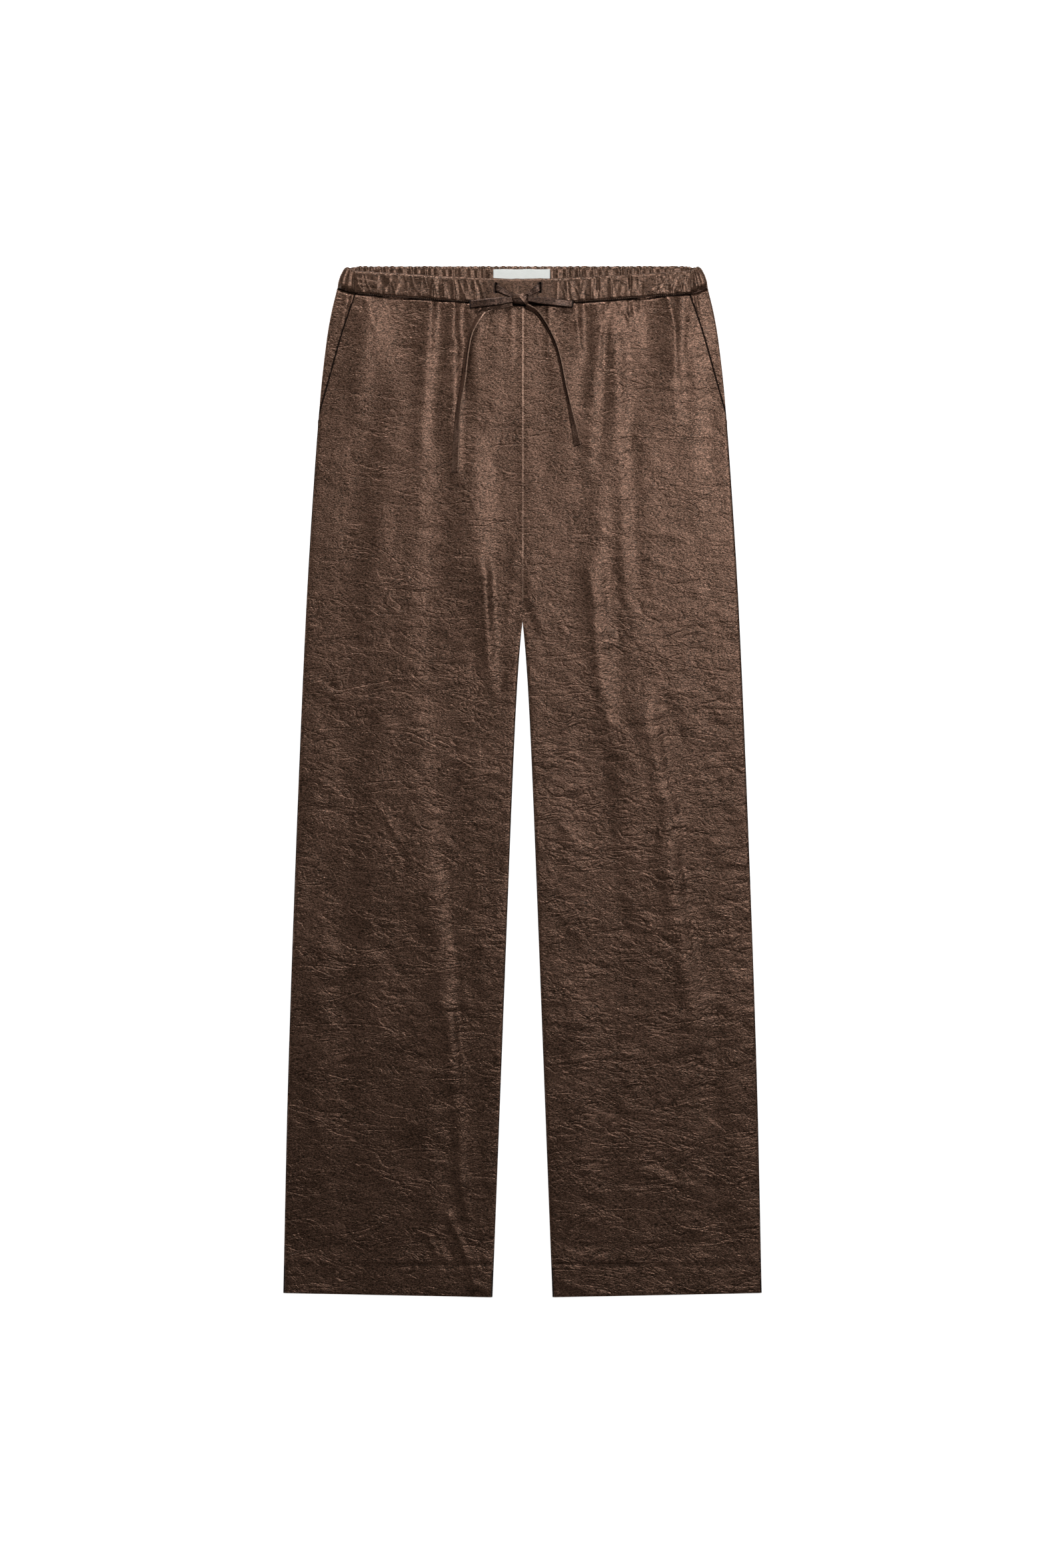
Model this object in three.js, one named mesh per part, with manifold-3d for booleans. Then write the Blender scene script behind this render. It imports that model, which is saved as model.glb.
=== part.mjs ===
// Straight trousers lying flat on their back, with the drawstring tied in a bow.
// Millimetres. +X is the wearer's left, +Y points to the waist, +Z is up.
// The origin is on the surface that they lie on, under the middle of the garment.

import * as THREE from 'three';
import { mergeVertices } from 'three/addons/utils/BufferGeometryUtils.js';
import Module from 'manifold-3d';

const wasm = await Module();
wasm.setup();

const { smoothstep, lerp, degToRad } = THREE.MathUtils;

// Driving sizes
const LENGTH = 1060;
const CLOTH = 1.2;
const SEAM_GAP = 0.3;
const BAND_THICK = 3;
const HEM_DEPTH = 33;
const HEM_EXTRA = 1;

// Outline, seen from above
const HEM_INNER_Y = -LENGTH / 2;
const HEM_OUTER_Y = HEM_INNER_Y + 4.4;
const HEM_STITCH_Y = HEM_INNER_Y + HEM_DEPTH;
const HEM_INNER_X = 30.8;
const HEM_OUTER_X = 246;
const CROTCH_Y = 164;
const LEG_GAP_SPREAD = 0.0385;
const LEG_GAP_NOTCH = 4.07;
const LEG_GAP_NOTCH_LENGTH = 55;
const SIDE_OUTLINE = [
  { y: HEM_OUTER_Y, x: HEM_OUTER_X },
  { y: -307, x: 241.1 },
  { y: -60, x: 232.6 },
  { y: 166, x: 223 },
  { y: 289, x: 215.8 },
  { y: 399, x: 207.6 },
  { y: 454, x: 201.4 },
  { y: 481, x: 196.8 },
  { y: 507, x: 190.6 },
];
const POCKET_MOUTH = [
  { y: 373, x: 209.6 },
  { y: 411, x: 198.7 },
  { y: 459, x: 185.2 },
  { y: 503, x: 170.2 },
];
const POCKET_TUCK = 12;
const FACING_BOTTOM_Y = 360;

// Heights: the panels lie on each other, a little proud where the band lifts them
const EDGE_ROLL = 4;
const FRONT_EDGE_Z = 2.2;
const BACK_EDGE_Z = FRONT_EDGE_Z - SEAM_GAP;
const LEG_TOP_Z = 4;
const WAIST_TOP_Z = 6.1;
const HEM_LIFT = 1.2;
const CROTCH_BLEND = 24;

// Waistband
const WAIST_CENTRE_Y = 490.5;
const WAIST_RISE = 11.2;
const WAIST_SIDE_LIFT = 3.4;
const FRONT_BAND_HALF = 173;
const BAND_SIDE_X = 190.6;
const BAND_TOP_SIDE_X = 182.6;
const FRONT_BAND_TOP_Y = 516;
const FRONT_BAND_TOP_RISE = 8.5;
const BACK_SEAM_Y = 504.3;
const BACK_SEAM_LIFT = 2.3;
const BACK_BAND_TOP_Y = 529.5;
const BAND_TURN_RADIUS = 2.35;
const BACK_GATHER_PITCH = 7.3;
const BACK_GATHER_HEIGHT = 0.4;
const RUFFLE = 0.5;
const BAND_TOP_Z = 2 * (BAND_TURN_RADIUS + BAND_THICK / 2);

// Label, buttonholes and drawstring
const LABEL = { left: -30, right: 28.3, top: 526.2, height: 20, thick: 0.5, lift: 3.75 };
const BUTTONHOLES = [
  { x: -27.2, bottom: 501, top: 512.2 },
  { x: 18, bottom: 501, top: 512.9 },
];
const BUTTONHOLE_WIDTH = 2.8;
const TAPE = { width: 7, thick: 1.8 };
const LOOP_THICK = 1.4;
const LOOP_LAYERS_APART = 3;
const KNOT = { left: -9.8, right: 4.6, bottom: 489.4, top: 500.4, low: 8, high: 14.8 };
const TAPE_CLEARANCE = 0.6;

// Gathers at the waist seam of each front panel, from the middle outwards:
// x at the seam, height of the ridge, and how far down it reaches
const LEFT_GATHERS = [
  { x: 12, height: 0.3, reach: 18 },
  { x: 27, height: 0.6, reach: 40 },
  { x: 41, height: 0.4, reach: 22 },
  { x: 56, height: 0.7, reach: 34 },
  { x: 71, height: 0.3, reach: 14 },
  { x: 84, height: 0.7, reach: 50 },
  { x: 97, height: 0.3, reach: 16 },
  { x: 110, height: 0.7, reach: 60 },
  { x: 130, height: 0.2, reach: 12 },
  { x: 153, height: 0.6, reach: 46 },
];
const RIGHT_GATHERS = [
  { x: 11, height: 0.3, reach: 30 },
  { x: 26, height: 0.2, reach: 16 },
  { x: 40, height: 0.3, reach: 20 },
  { x: 54, height: 0.4, reach: 18 },
  { x: 68, height: 0.9, reach: 70 },
  { x: 80, height: 0.4, reach: 20 },
  { x: 93, height: 0.7, reach: 48 },
  { x: 108, height: 0.3, reach: 16 },
  { x: 128, height: 0.2, reach: 14 },
  { x: 152, height: 0.5, reach: 36 },
];

// Large folds of the front: a ridge or, with a negative height, a hollow from one end to the other
const FOLDS = [
  { x1: -169, y1: 500, x2: -126, y2: 420, width: 16, height: 0.8 },
  { x1: -122, y1: 500, x2: -118, y2: 452, width: 24, height: -0.8 },
  { x1: -93, y1: 500, x2: -102, y2: 410, width: 9, height: 0.6 },
  { x1: -69, y1: 500, x2: -68, y2: 385, width: 8, height: 1 },
  { x1: -34, y1: 480, x2: -36, y2: 380, width: 15, height: -0.5 },
  { x1: 57, y1: 500, x2: 60, y2: 448, width: 8, height: 0.6 },
  { x1: 71, y1: 500, x2: 71, y2: 466, width: 10, height: -0.5 },
  { x1: 86, y1: 500, x2: 77, y2: 396, width: 10, height: 0.8 },
  { x1: 109, y1: 480, x2: 106, y2: 396, width: 12, height: 0.7 },
  { x1: 134, y1: 505, x2: 132, y2: 420, width: 20, height: -1 },
  { x1: 150, y1: 505, x2: 157, y2: 426, width: 9, height: 0.8 },
  { x1: 175, y1: 480, x2: 168, y2: 430, width: 10, height: 0.5 },
  { x1: -38, y1: 212, x2: -36, y2: 124, width: 11, height: 0.8 },
  { x1: 67, y1: 220, x2: 82, y2: 84, width: 14, height: 0.6 },
  { x1: -64, y1: -124, x2: -54, y2: -360, width: 18, height: 0.8 },
  { x1: 155, y1: -19, x2: 188, y2: -230, width: 18, height: 0.7 },
  { x1: -120, y1: 60, x2: -150, y2: -90, width: 24, height: -0.5 },
  { x1: 110, y1: -260, x2: 150, y2: -400, width: 22, height: -0.5 },
  { x1: -75, y1: -449, x2: -59, y2: -486, width: 8, height: 0.8 },
  { x1: 0, y1: 500, x2: 0, y2: 172, width: 3.5, height: -0.4 },
];

// Gathers of the flat front band: place, lean to the side over its height, and height or depth
const BAND_GATHERS = [
  { x: -164, lean: -3, height: 0.5 },
  { x: -150, lean: 3, height: 0.4 },
  { x: -136, lean: -2, height: 0.3 },
  { x: -119, lean: 2, height: 0.3 },
  { x: -105, lean: 2, height: 0.4 },
  { x: -93, lean: 4, height: 0.9 },
  { x: -84, lean: -2, height: 0.6 },
  { x: -70, lean: -2, height: 0.7 },
  { x: -59, lean: 1, height: 0.4 },
  { x: -48, lean: -2, height: -0.6 },
  { x: 35, lean: 1, height: 0.4 },
  { x: 46, lean: -3, height: 0.6 },
  { x: 58, lean: 2, height: 0.4 },
  { x: 70, lean: 1, height: 0.8 },
  { x: 77, lean: 1, height: -0.5 },
  { x: 91, lean: -2, height: 0.6 },
  { x: 110, lean: 1, height: -0.7 },
  { x: 124, lean: 2, height: 0.4 },
  { x: 138, lean: -3, height: 0.5 },
  { x: 153, lean: -6, height: 0.6 },
  { x: 164, lean: -6, height: 0.6 },
];
const BAND_GATHER_HALF = 3.2;

// Routes of the tape. turn is the angle of its width from +Y, roll is how far it stands on edge
const LEADS = [
  {
    name: 'drawstring_lead_right',
    stops: [
      { x: -27.2, y: 506.6, z: 5.2, turn: 0, width: 7 },
      { x: -27.2, y: 506.6, z: 7.3, turn: 0, width: 7 },
      { x: -26.4, y: 506.3, z: 8.9, turn: 4, width: 7 },
      { x: -23, y: 504.8, z: 9.4, turn: 14, width: 6.8 },
      { x: -17, y: 501.6, z: 9, turn: 24, width: 5.6 },
      { x: KNOT.left - 0.4, y: 498.3, z: 8.9, turn: 24, width: 4 },
    ],
  },
  {
    name: 'drawstring_lead_left',
    stops: [
      { x: 18, y: 507, z: 5.2, turn: 0, width: 7 },
      { x: 18, y: 507, z: 7.3, turn: 0, width: 7 },
      { x: 17.2, y: 506.7, z: 8.9, turn: -6, width: 7 },
      { x: 14, y: 504.9, z: 9.4, turn: -18, width: 6.6 },
      { x: 9.4, y: 501.6, z: 9, turn: -28, width: 5.2 },
      { x: KNOT.right + 0.4, y: 498.9, z: 8.9, turn: -28, width: 3.8 },
    ],
  },
];
const LOOPS = [
  { name: 'bow_loop_right', from: [KNOT.left - 0.5, 493.9], to: [-54.6, 489.2], width: 8 },
  { name: 'bow_loop_left', from: [KNOT.right + 0.5, 494.6], to: [52, 489.4], width: 7.2 },
];
const LOOP_LOW_AT_KNOT = 10.3;
const LOOP_LOW_AT_TIP = 8.9;
const TAILS = [
  {
    name: 'drawstring_tail_right',
    stops: [
      { x: -10.4, y: 490.6, roll: 0 },
      { x: -18, y: 489.4, roll: 0 },
      { x: -26, y: 487.8, roll: 0 },
      { x: -33, y: 486, roll: 6 },
      { x: -39.6, y: 483, roll: 20 },
      { x: -47, y: 472, roll: 50 },
      { x: -53, y: 458.7, roll: 62 },
      { x: -56.6, y: 440.9, roll: 62 },
      { x: -60.3, y: 411.1, roll: 58 },
      { x: -64.8, y: 387.4, roll: 50 },
      { x: -67.1, y: 366.6, roll: 38 },
      { x: -67.8, y: 348.8, roll: 20 },
      { x: -69.3, y: 317.6, roll: 4 },
    ],
  },
  {
    name: 'drawstring_tail_left',
    stops: [
      { x: 3.8, y: 488, roll: 50 },
      { x: 13.9, y: 482.4, roll: 58 },
      { x: 21.3, y: 473.5, roll: 66 },
      { x: 28.8, y: 460.2, roll: 68 },
      { x: 34.7, y: 446.8, roll: 68 },
      { x: 39.2, y: 430.4, roll: 68 },
      { x: 43.6, y: 408.2, roll: 66 },
      { x: 48.1, y: 387.4, roll: 60 },
      { x: 52.5, y: 366.6, roll: 42 },
      { x: 56.9, y: 345.2, roll: 10 },
    ],
  },
];

// Distances below the waist seam where the front panels have a row of points
const CROTCH_DROP = WAIST_CENTRE_Y - CROTCH_Y;
const HEM_DROP = WAIST_CENTRE_Y - HEM_INNER_Y;
const FRONT_ROWS = [
  0, 5, 12, 22, 34, 50, 70, 95, 125, 165, 210, 260, 300, CROTCH_DROP, 340, 360, 395, 440,
  500, 570, 640, 710, 780, 850, 915, 955, HEM_DROP - HEM_DEPTH - 5, HEM_DROP - HEM_DEPTH,
  HEM_DROP - HEM_DEPTH + 5, HEM_DROP,
];
const BACK_ROWS = [0, 60, 140, 240, CROTCH_DROP, 345, 375, 440, 540, 660, 780, 900, 980, HEM_DROP];
const BACK_COLUMNS = [0.25, 0.5, 0.76, 0.83, 0.9];
const ROLL_COLUMNS = [0, 0.36, 1];

// Colours
const BROWN = new THREE.MeshStandardMaterial({ color: 0x5c463a, roughness: 0.5, metalness: 0 });
const BROWN_BAND = new THREE.MeshStandardMaterial({ color: 0x584237, roughness: 0.5, metalness: 0 });
const BROWN_TAPE = new THREE.MeshStandardMaterial({ color: 0x523c31, roughness: 0.6, metalness: 0 });
const OFF_WHITE = new THREE.MeshStandardMaterial({ color: 0xe9ede9, roughness: 0.8, metalness: 0 });

// A smooth curve x(y) through the rows of a table that is sorted by y
function curveAt(rows, y) {
  const last = rows.length - 1;
  const slope = (i) => {
    const a = rows[Math.max(0, i - 1)];
    const b = rows[Math.min(last, i + 1)];
    return (b.x - a.x) / (b.y - a.y);
  };
  if (y <= rows[0].y) {
    return rows[0].x + (y - rows[0].y) * slope(0);
  }
  if (y >= rows[last].y) {
    return rows[last].x + (y - rows[last].y) * slope(last);
  }
  const i = rows.findIndex((row) => row.y > y) - 1;
  const step = rows[i + 1].y - rows[i].y;
  const t = (y - rows[i].y) / step;
  const bend = t * (1 - t) * step;
  const straight = lerp(rows[i].x, rows[i + 1].x, t);
  const chord = (rows[i + 1].x - rows[i].x) / step;
  return straight + bend * ((1 - t) * (slope(i) - chord) + t * (chord - slope(i + 1)));
}

// The front layer is a little wider beside the pocket, so that the sunk facing keeps the outline
const FACING_SINK = CLOTH + 1.5 * SEAM_GAP;
const outline = (y) => curveAt(SIDE_OUTLINE, y);
const frontOutline = (y) => outline(y) + FACING_SINK * smoothstep(y, 362, 386);
const panelEdge = (y) => Math.min(frontOutline(y), curveAt(POCKET_MOUTH, y));

function innerEdge(y) {
  const below = Math.max(0, CROTCH_Y - y);
  const notch = LEG_GAP_NOTCH * (1 - Math.exp(-below / LEG_GAP_NOTCH_LENGTH));
  return SEAM_GAP / 2 + LEG_GAP_SPREAD * below + notch;
}

function waistSeam(x) {
  const across = Math.abs(x) / FRONT_BAND_HALF;
  const lift = WAIST_SIDE_LIFT * smoothstep(Math.abs(x), FRONT_BAND_HALF, BAND_SIDE_X);
  return WAIST_CENTRE_Y + WAIST_RISE * across ** 1.3 + lift;
}

const backSeam = (x) => BACK_SEAM_Y + BACK_SEAM_LIFT * smoothstep(Math.abs(x), 150, BAND_SIDE_X);

function hemLine(x) {
  const across = (Math.abs(x) - HEM_INNER_X) / (HEM_OUTER_X - HEM_INNER_X);
  return lerp(HEM_INNER_Y, HEM_OUTER_Y, across);
}

// A bump that is 1 in the middle and 0 from one half width on
const bump = (offset) => (Math.abs(offset) < 1 ? Math.cos(offset * Math.PI / 2) ** 2 : 0);

function foldHeight(x, y) {
  let height = 0;
  for (const fold of FOLDS) {
    const run = new THREE.Vector2(fold.x2 - fold.x1, fold.y2 - fold.y1);
    const offset = new THREE.Vector2(x - fold.x1, y - fold.y1);
    const along = THREE.MathUtils.clamp(offset.dot(run) / run.lengthSq(), 0, 1);
    const away = offset.addScaledVector(run, -along).length();
    height += fold.height * Math.exp(-((away / fold.width) ** 2)) * (1 - 0.4 * along);
  }
  return height;
}

function gatherHeight(x, y) {
  const table = x > 0 ? LEFT_GATHERS : RIGHT_GATHERS;
  const atSeam = Math.abs(x) * panelEdge(WAIST_CENTRE_Y + WAIST_RISE) / panelEdge(y);
  const drop = Math.max(0, waistSeam(x) - y);
  let height = 0;
  for (let k = 0; k < table.length; k += 1) {
    const before = k > 0 ? table[k - 1].x : 0;
    const after = k < table.length - 1 ? table[k + 1].x : panelEdge(WAIST_CENTRE_Y);
    const half = (atSeam < table[k].x ? table[k].x - before : after - table[k].x) / 2;
    height += table[k].height * bump((atSeam - table[k].x) / half) * Math.exp(-drop / table[k].reach);
  }
  return height;
}

// Height of the front's outer face, away from its rolled edges
function frontTop(x, y) {
  const rise = (WAIST_TOP_Z - LEG_TOP_Z) * smoothstep(y, 300, 490);
  const hemLift = HEM_LIFT * (1 - smoothstep(y, HEM_STITCH_Y, HEM_STITCH_Y + 20));
  const stitch = 0.35 * bump((y - HEM_STITCH_Y) / 5);
  return LEG_TOP_Z + rise + hemLift - stitch + foldHeight(x, y) + gatherHeight(x, y);
}

const wallAt = (y) => CLOTH + HEM_EXTRA * (1 - smoothstep(y, HEM_STITCH_Y, HEM_STITCH_Y + 6));

// How a layer rolls down at its two edges: how far it is sunk under the outer face decides its radius
function rolled(x, y, edge, sink) {
  const gap = innerEdge(y);
  const blend = 1 - smoothstep(y, CROTCH_Y - CROTCH_BLEND, CROTCH_Y);
  const fromOuter = edge - x;
  const fromInner = x - gap;
  let across = x;
  let fullness = 1;
  if (fromOuter < EDGE_ROLL) {
    const c = 1 - Math.max(0, fromOuter) / EDGE_ROLL;
    across = edge - sink - (EDGE_ROLL - sink) * (1 - c);
    fullness *= Math.sqrt(Math.max(0, 1 - c * c));
  }
  if (fromInner < EDGE_ROLL) {
    const c = 1 - Math.max(0, fromInner) / EDGE_ROLL;
    const tucked = gap + sink + (EDGE_ROLL - sink) * (1 - c);
    across = lerp(x, tucked, blend);
    fullness *= lerp(1, Math.sqrt(Math.max(0, 1 - c * c)), blend);
  }
  return { across, fullness };
}

// A point of the front, sunk under its outer face by sinkAcross at the edges and sinkDown elsewhere
function frontPoint(side, x, y, sinkAcross, sinkDown) {
  const { across, fullness } = rolled(x, y, frontOutline(y), sinkAcross);
  const z = FRONT_EDGE_Z + (frontTop(side * x, y) - sinkDown - FRONT_EDGE_Z) * fullness;
  return new THREE.Vector3(side * across, y, z);
}

function backPoint(side, x, y, isInside) {
  const { across, fullness } = rolled(x, y, outline(y), isInside ? CLOTH : 0);
  const flat = isInside ? wallAt(y) : 0;
  return new THREE.Vector3(side * across, y, lerp(BACK_EDGE_Z, flat, fullness));
}

// An indexed geometry of triangles that face out
function closedGeometry(points, triangles) {
  let volume = 0;
  for (let i = 0; i < triangles.length; i += 3) {
    const [a, b, c] = [0, 1, 2].map((k) => points[triangles[i + k]]);
    volume += a.dot(b.clone().cross(c));
  }
  const facingOut = volume > 0 ? triangles : triangles.toReversed();
  const geometry = new THREE.BufferGeometry();
  geometry.setFromPoints(points);
  geometry.setIndex(facingOut);
  geometry.computeVertexNormals();
  return geometry;
}

// A wall between two grids of points that have the same rows and columns
function wallBetween(outer, inner) {
  const rows = outer.length;
  const columns = outer[0].length;
  const points = [...outer.flat(), ...inner.flat()];
  const triangles = [];
  const at = (r, c) => r * columns + c;
  const below = rows * columns;
  const close = (p, q) => triangles.push(q, p, p + below, q, p + below, q + below);
  for (let r = 0; r < rows - 1; r += 1) {
    for (let c = 0; c < columns - 1; c += 1) {
      const [a, b, d, e] = [at(r, c), at(r, c + 1), at(r + 1, c + 1), at(r + 1, c)];
      triangles.push(a, b, d, a, d, e);
      triangles.push(a + below, d + below, b + below, a + below, e + below, d + below);
    }
    close(at(r, columns - 1), at(r + 1, columns - 1));
    close(at(r + 1, 0), at(r, 0));
  }
  for (let c = 0; c < columns - 1; c += 1) {
    close(at(0, c), at(0, c + 1));
    close(at(rows - 1, c + 1), at(rows - 1, c));
  }
  return closedGeometry(points, triangles);
}

// A body through closed rings of points, capped at both ends
function throughRings(rings) {
  const count = rings[0].length;
  const triangles = [];
  const at = (k, i) => k * count + (i % count);
  for (let k = 0; k < rings.length - 1; k += 1) {
    for (let i = 0; i < count; i += 1) {
      triangles.push(at(k, i), at(k, i + 1), at(k + 1, i + 1));
      triangles.push(at(k, i), at(k + 1, i + 1), at(k + 1, i));
    }
  }
  const end = rings.length - 1;
  for (let i = 1; i < count - 1; i += 1) {
    triangles.push(at(0, 0), at(0, i + 1), at(0, i));
    triangles.push(at(end, 0), at(end, i), at(end, i + 1));
  }
  return closedGeometry(rings.flat(), triangles);
}

// Fractions across a front panel: each gather's ridge and the valley beside it
function gatherColumns(table) {
  const width = panelEdge(WAIST_CENTRE_Y + WAIST_RISE);
  const fractions = [];
  let before = 0;
  for (const { x } of table) {
    fractions.push((before + x) / 2 / width, x / width);
    before = x;
  }
  fractions.push((before + width) / 2 / width);
  return fractions;
}

// Columns of a panel at one height: close together in the rolled edges, then at the given fractions
function columnPlaces(inner, outer, fractions) {
  const rising = ROLL_COLUMNS.map((part) => inner + part * EDGE_ROLL);
  const middle = fractions.map((part) => lerp(inner, outer, part));
  const falling = ROLL_COLUMNS.toReversed().map((part) => outer - part * EDGE_ROLL);
  return [...rising, ...middle, ...falling];
}

// A panel between a top edge and the hem. edgeAt gives its outer edge, pointAt one point of a layer
function panel(dropRows, fractions, topLine, edgeAt, pointAt) {
  const rowOf = (drop, layer) => {
    const part = drop / HEM_DROP;
    const levelY = (x) => lerp(topLine(x) - SEAM_GAP / 2, hemLine(x), part);
    const first = columnPlaces(innerEdge(levelY(0)), edgeAt(levelY(BAND_SIDE_X)), fractions);
    return first.map((guess, column) => {
      const y = part * HEM_DROP === CROTCH_DROP && column === 0 ? CROTCH_Y : levelY(guess);
      const x = columnPlaces(innerEdge(y), edgeAt(y), fractions)[column];
      return pointAt(x, y, layer);
    });
  };
  const layers = [0, 1].map((layer) => dropRows.map((drop) => rowOf(drop, layer)));
  return wallBetween(layers[0], layers[1]);
}

function frontPanel(side) {
  const table = side > 0 ? LEFT_GATHERS : RIGHT_GATHERS;
  const pointAt = (x, y, layer) => frontPoint(side, x, y, layer * CLOTH, layer * wallAt(y));
  return panel(FRONT_ROWS, gatherColumns(table), waistSeam, panelEdge, pointAt);
}

function backPanel(side) {
  const pointAt = (x, y, layer) => backPoint(side, x, y, layer === 0);
  return panel(BACK_ROWS, BACK_COLUMNS, backSeam, outline, pointAt);
}

// The hip piece outside the pocket mouth, tucked under the front panel
function pocketFacing(side) {
  const across = [0, 0.3, 0.55, 0.75, 0.9, 0.97, 1];
  const down = [0, 0.05, 0.12, 0.22, 0.34, 0.46, 0.58, 0.7, 0.8, 0.9, 1];
  const layer = (sink) => down.map((part) => across.map((place) => {
    const guess = lerp(panelEdge(WAIST_CENTRE_Y + WAIST_RISE) - POCKET_TUCK, BAND_SIDE_X, place);
    const y = lerp(waistSeam(guess) - SEAM_GAP / 2, FACING_BOTTOM_Y, part);
    const x = lerp(panelEdge(y) - POCKET_TUCK, frontOutline(y), place);
    return frontPoint(side, x, y, sink, sink);
  }));
  return wallBetween(layer(FACING_SINK), layer(FACING_SINK + CLOTH));
}

// Ring of a band's section: height from its seam to its top edge, and share of half its thickness
const BAND_SECTION = [
  { height: 0, share: 0.72, gather: 1 },
  { height: 0.1, share: 1, gather: 1 },
  { height: 0.5, share: 1, gather: 0.7 },
  { height: 0.92, share: 1, gather: 0.5 },
  { height: 1, share: 0.4, gather: 0 },
  { height: 1, share: -0.4, gather: 0 },
  { height: 0.92, share: -1, gather: 0 },
  { height: 0, share: -1, gather: 0 },
];
const BACK_BAND_SECTION = [
  { height: 0, share: 1, gather: 0.6 },
  { height: 0.93, share: 1, gather: 1 },
  { height: 1, share: 0.4, gather: 0.4 },
  { height: 1, share: -0.4, gather: -0.4 },
  { height: 0.93, share: -1, gather: -1 },
  { height: 0.5, share: -1, gather: -1 },
  { height: 0, share: -1, gather: -0.5 },
];

// Places along the front band: each gather's ridge and its feet, and no step wider than the limit
function bandColumns() {
  const end = FRONT_BAND_HALF - SEAM_GAP / 2;
  const widest = 7;
  const marks = BAND_GATHERS.flatMap(({ x }) => [x - BAND_GATHER_HALF, x, x + BAND_GATHER_HALF]);
  const places = [-end];
  for (const mark of [...marks, end]) {
    const from = places.at(-1);
    const steps = Math.max(1, Math.ceil((mark - from) / widest));
    for (let k = 1; k <= steps; k += 1) {
      places.push(lerp(from, mark, k / steps));
    }
  }
  return places.filter((x, i) => i === 0 || i === places.length - 1 || x - places[i - 1] > 0.8);
}

function bandGather(x, height) {
  let rise = 0;
  for (const gather of BAND_GATHERS) {
    rise += gather.height * bump((x - gather.x) / BAND_GATHER_HALF);
  }
  return rise * (1 - 0.3 * height);
}

const bandLean = (x, height) => {
  let lean = 0;
  for (const gather of BAND_GATHERS) {
    lean += gather.lean * bump((x - gather.x) / (2 * BAND_GATHER_HALF));
  }
  return lean * height * 0.5;
};

function frontBandTop(x) {
  return FRONT_BAND_TOP_Y + FRONT_BAND_TOP_RISE * (Math.abs(x) / FRONT_BAND_HALF) ** 1.4;
}

function buttonhole({ x, bottom, top }) {
  const r = BUTTONHOLE_WIDTH / 2;
  const slot = new THREE.Shape();
  slot.absarc(x, top - r, r, 0, Math.PI);
  slot.absarc(x, bottom + r, r, Math.PI, 2 * Math.PI);
  slot.closePath();
  const extrusion = { depth: 2 * BAND_THICK, bevelEnabled: false, curveSegments: 5 };
  const cutter = new THREE.ExtrudeGeometry(slot, extrusion);
  cutter.translate(0, 0, BAND_TOP_Z - BAND_THICK * 1.5);
  return cutter;
}

function toSolid(geometry) {
  const bare = new THREE.BufferGeometry();
  bare.setAttribute('position', geometry.getAttribute('position'));
  bare.setIndex(geometry.getIndex());
  const merged = mergeVertices(bare, 1e-4);
  const vertProperties = Float32Array.from(merged.getAttribute('position').array);
  const triVerts = Uint32Array.from(merged.getIndex().array);
  return new wasm.Manifold(new wasm.Mesh({ numProp: 3, vertProperties, triVerts }));
}

function toGeometry(solid) {
  const mesh = solid.getMesh();
  const geometry = new THREE.BufferGeometry();
  geometry.setAttribute('position', new THREE.BufferAttribute(Float32Array.from(mesh.vertProperties), 3));
  geometry.setIndex(new THREE.BufferAttribute(Uint32Array.from(mesh.triVerts), 1));
  geometry.computeVertexNormals();
  return geometry;
}

function frontBand() {
  const half = BAND_THICK / 2;
  const end = FRONT_BAND_HALF;
  const rings = bandColumns().map((x) => {
    const low = waistSeam(x) + SEAM_GAP / 2;
    const high = frontBandTop(x);
    const fade = smoothstep(end - Math.abs(x), 0, 8);
    return BAND_SECTION.map(({ height, share, gather }) => new THREE.Vector3(
      x + bandLean(x, height) * fade,
      lerp(low, high, height),
      BAND_TOP_Z - half + half * share + gather * bandGather(x, height) * fade,
    ));
  });
  let band = toSolid(throughRings(rings));
  for (const hole of BUTTONHOLES) {
    band = band.subtract(toSolid(buttonhole(hole)));
  }
  return toGeometry(band);
}

// Uneven gathers of the elastic back band, as a share from -1 to 1
function elasticWave(x) {
  const drift = 1.3 * Math.sin(x / 31) + 0.7 * Math.sin(x / 11.3 + 2);
  const swell = 0.7 + 0.3 * Math.sin(x / 17 + 1);
  return swell * Math.sin(2 * Math.PI * x / BACK_GATHER_PITCH + drift);
}

// One ring of the back band. The centre line turns up at each side and comes back over the front
function backBandRing(place) {
  const half = BAND_THICK / 2;
  const low = place.isTop ? waistSeam(place.x) : lerp(backSeam(place.x), waistSeam(place.x), place.turned);
  const ruffle = RUFFLE * elasticWave(place.x + 1.5);
  const top = place.isTop ? frontBandTop(FRONT_BAND_HALF) : BACK_BAND_TOP_Y;
  const high = lerp(top, BACK_BAND_TOP_Y - 1.2, place.shoulder) + ruffle;
  const wave = BACK_GATHER_HEIGHT * elasticWave(place.x);
  return BACK_BAND_SECTION.map(({ height, share, gather }) => {
    const isUnderside = share > 0 && !place.isTop;
    const lift = isUnderside ? wave * place.turned * gather : wave * gather * (1 - place.turned * 0.8);
    const reach = BAND_TURN_RADIUS + half * share + (place.isTop ? wave * gather : lift);
    const narrowing = (BAND_SIDE_X - BAND_TOP_SIDE_X) * height * Math.sign(place.x);
    const x = place.centre - narrowing * place.side + reach * Math.cos(place.angle) * Math.sign(place.x);
    const z = BAND_TURN_RADIUS + half + reach * Math.sin(place.angle);
    return new THREE.Vector3(x, lerp(low + SEAM_GAP / 2, high, height), z);
  });
}

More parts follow.
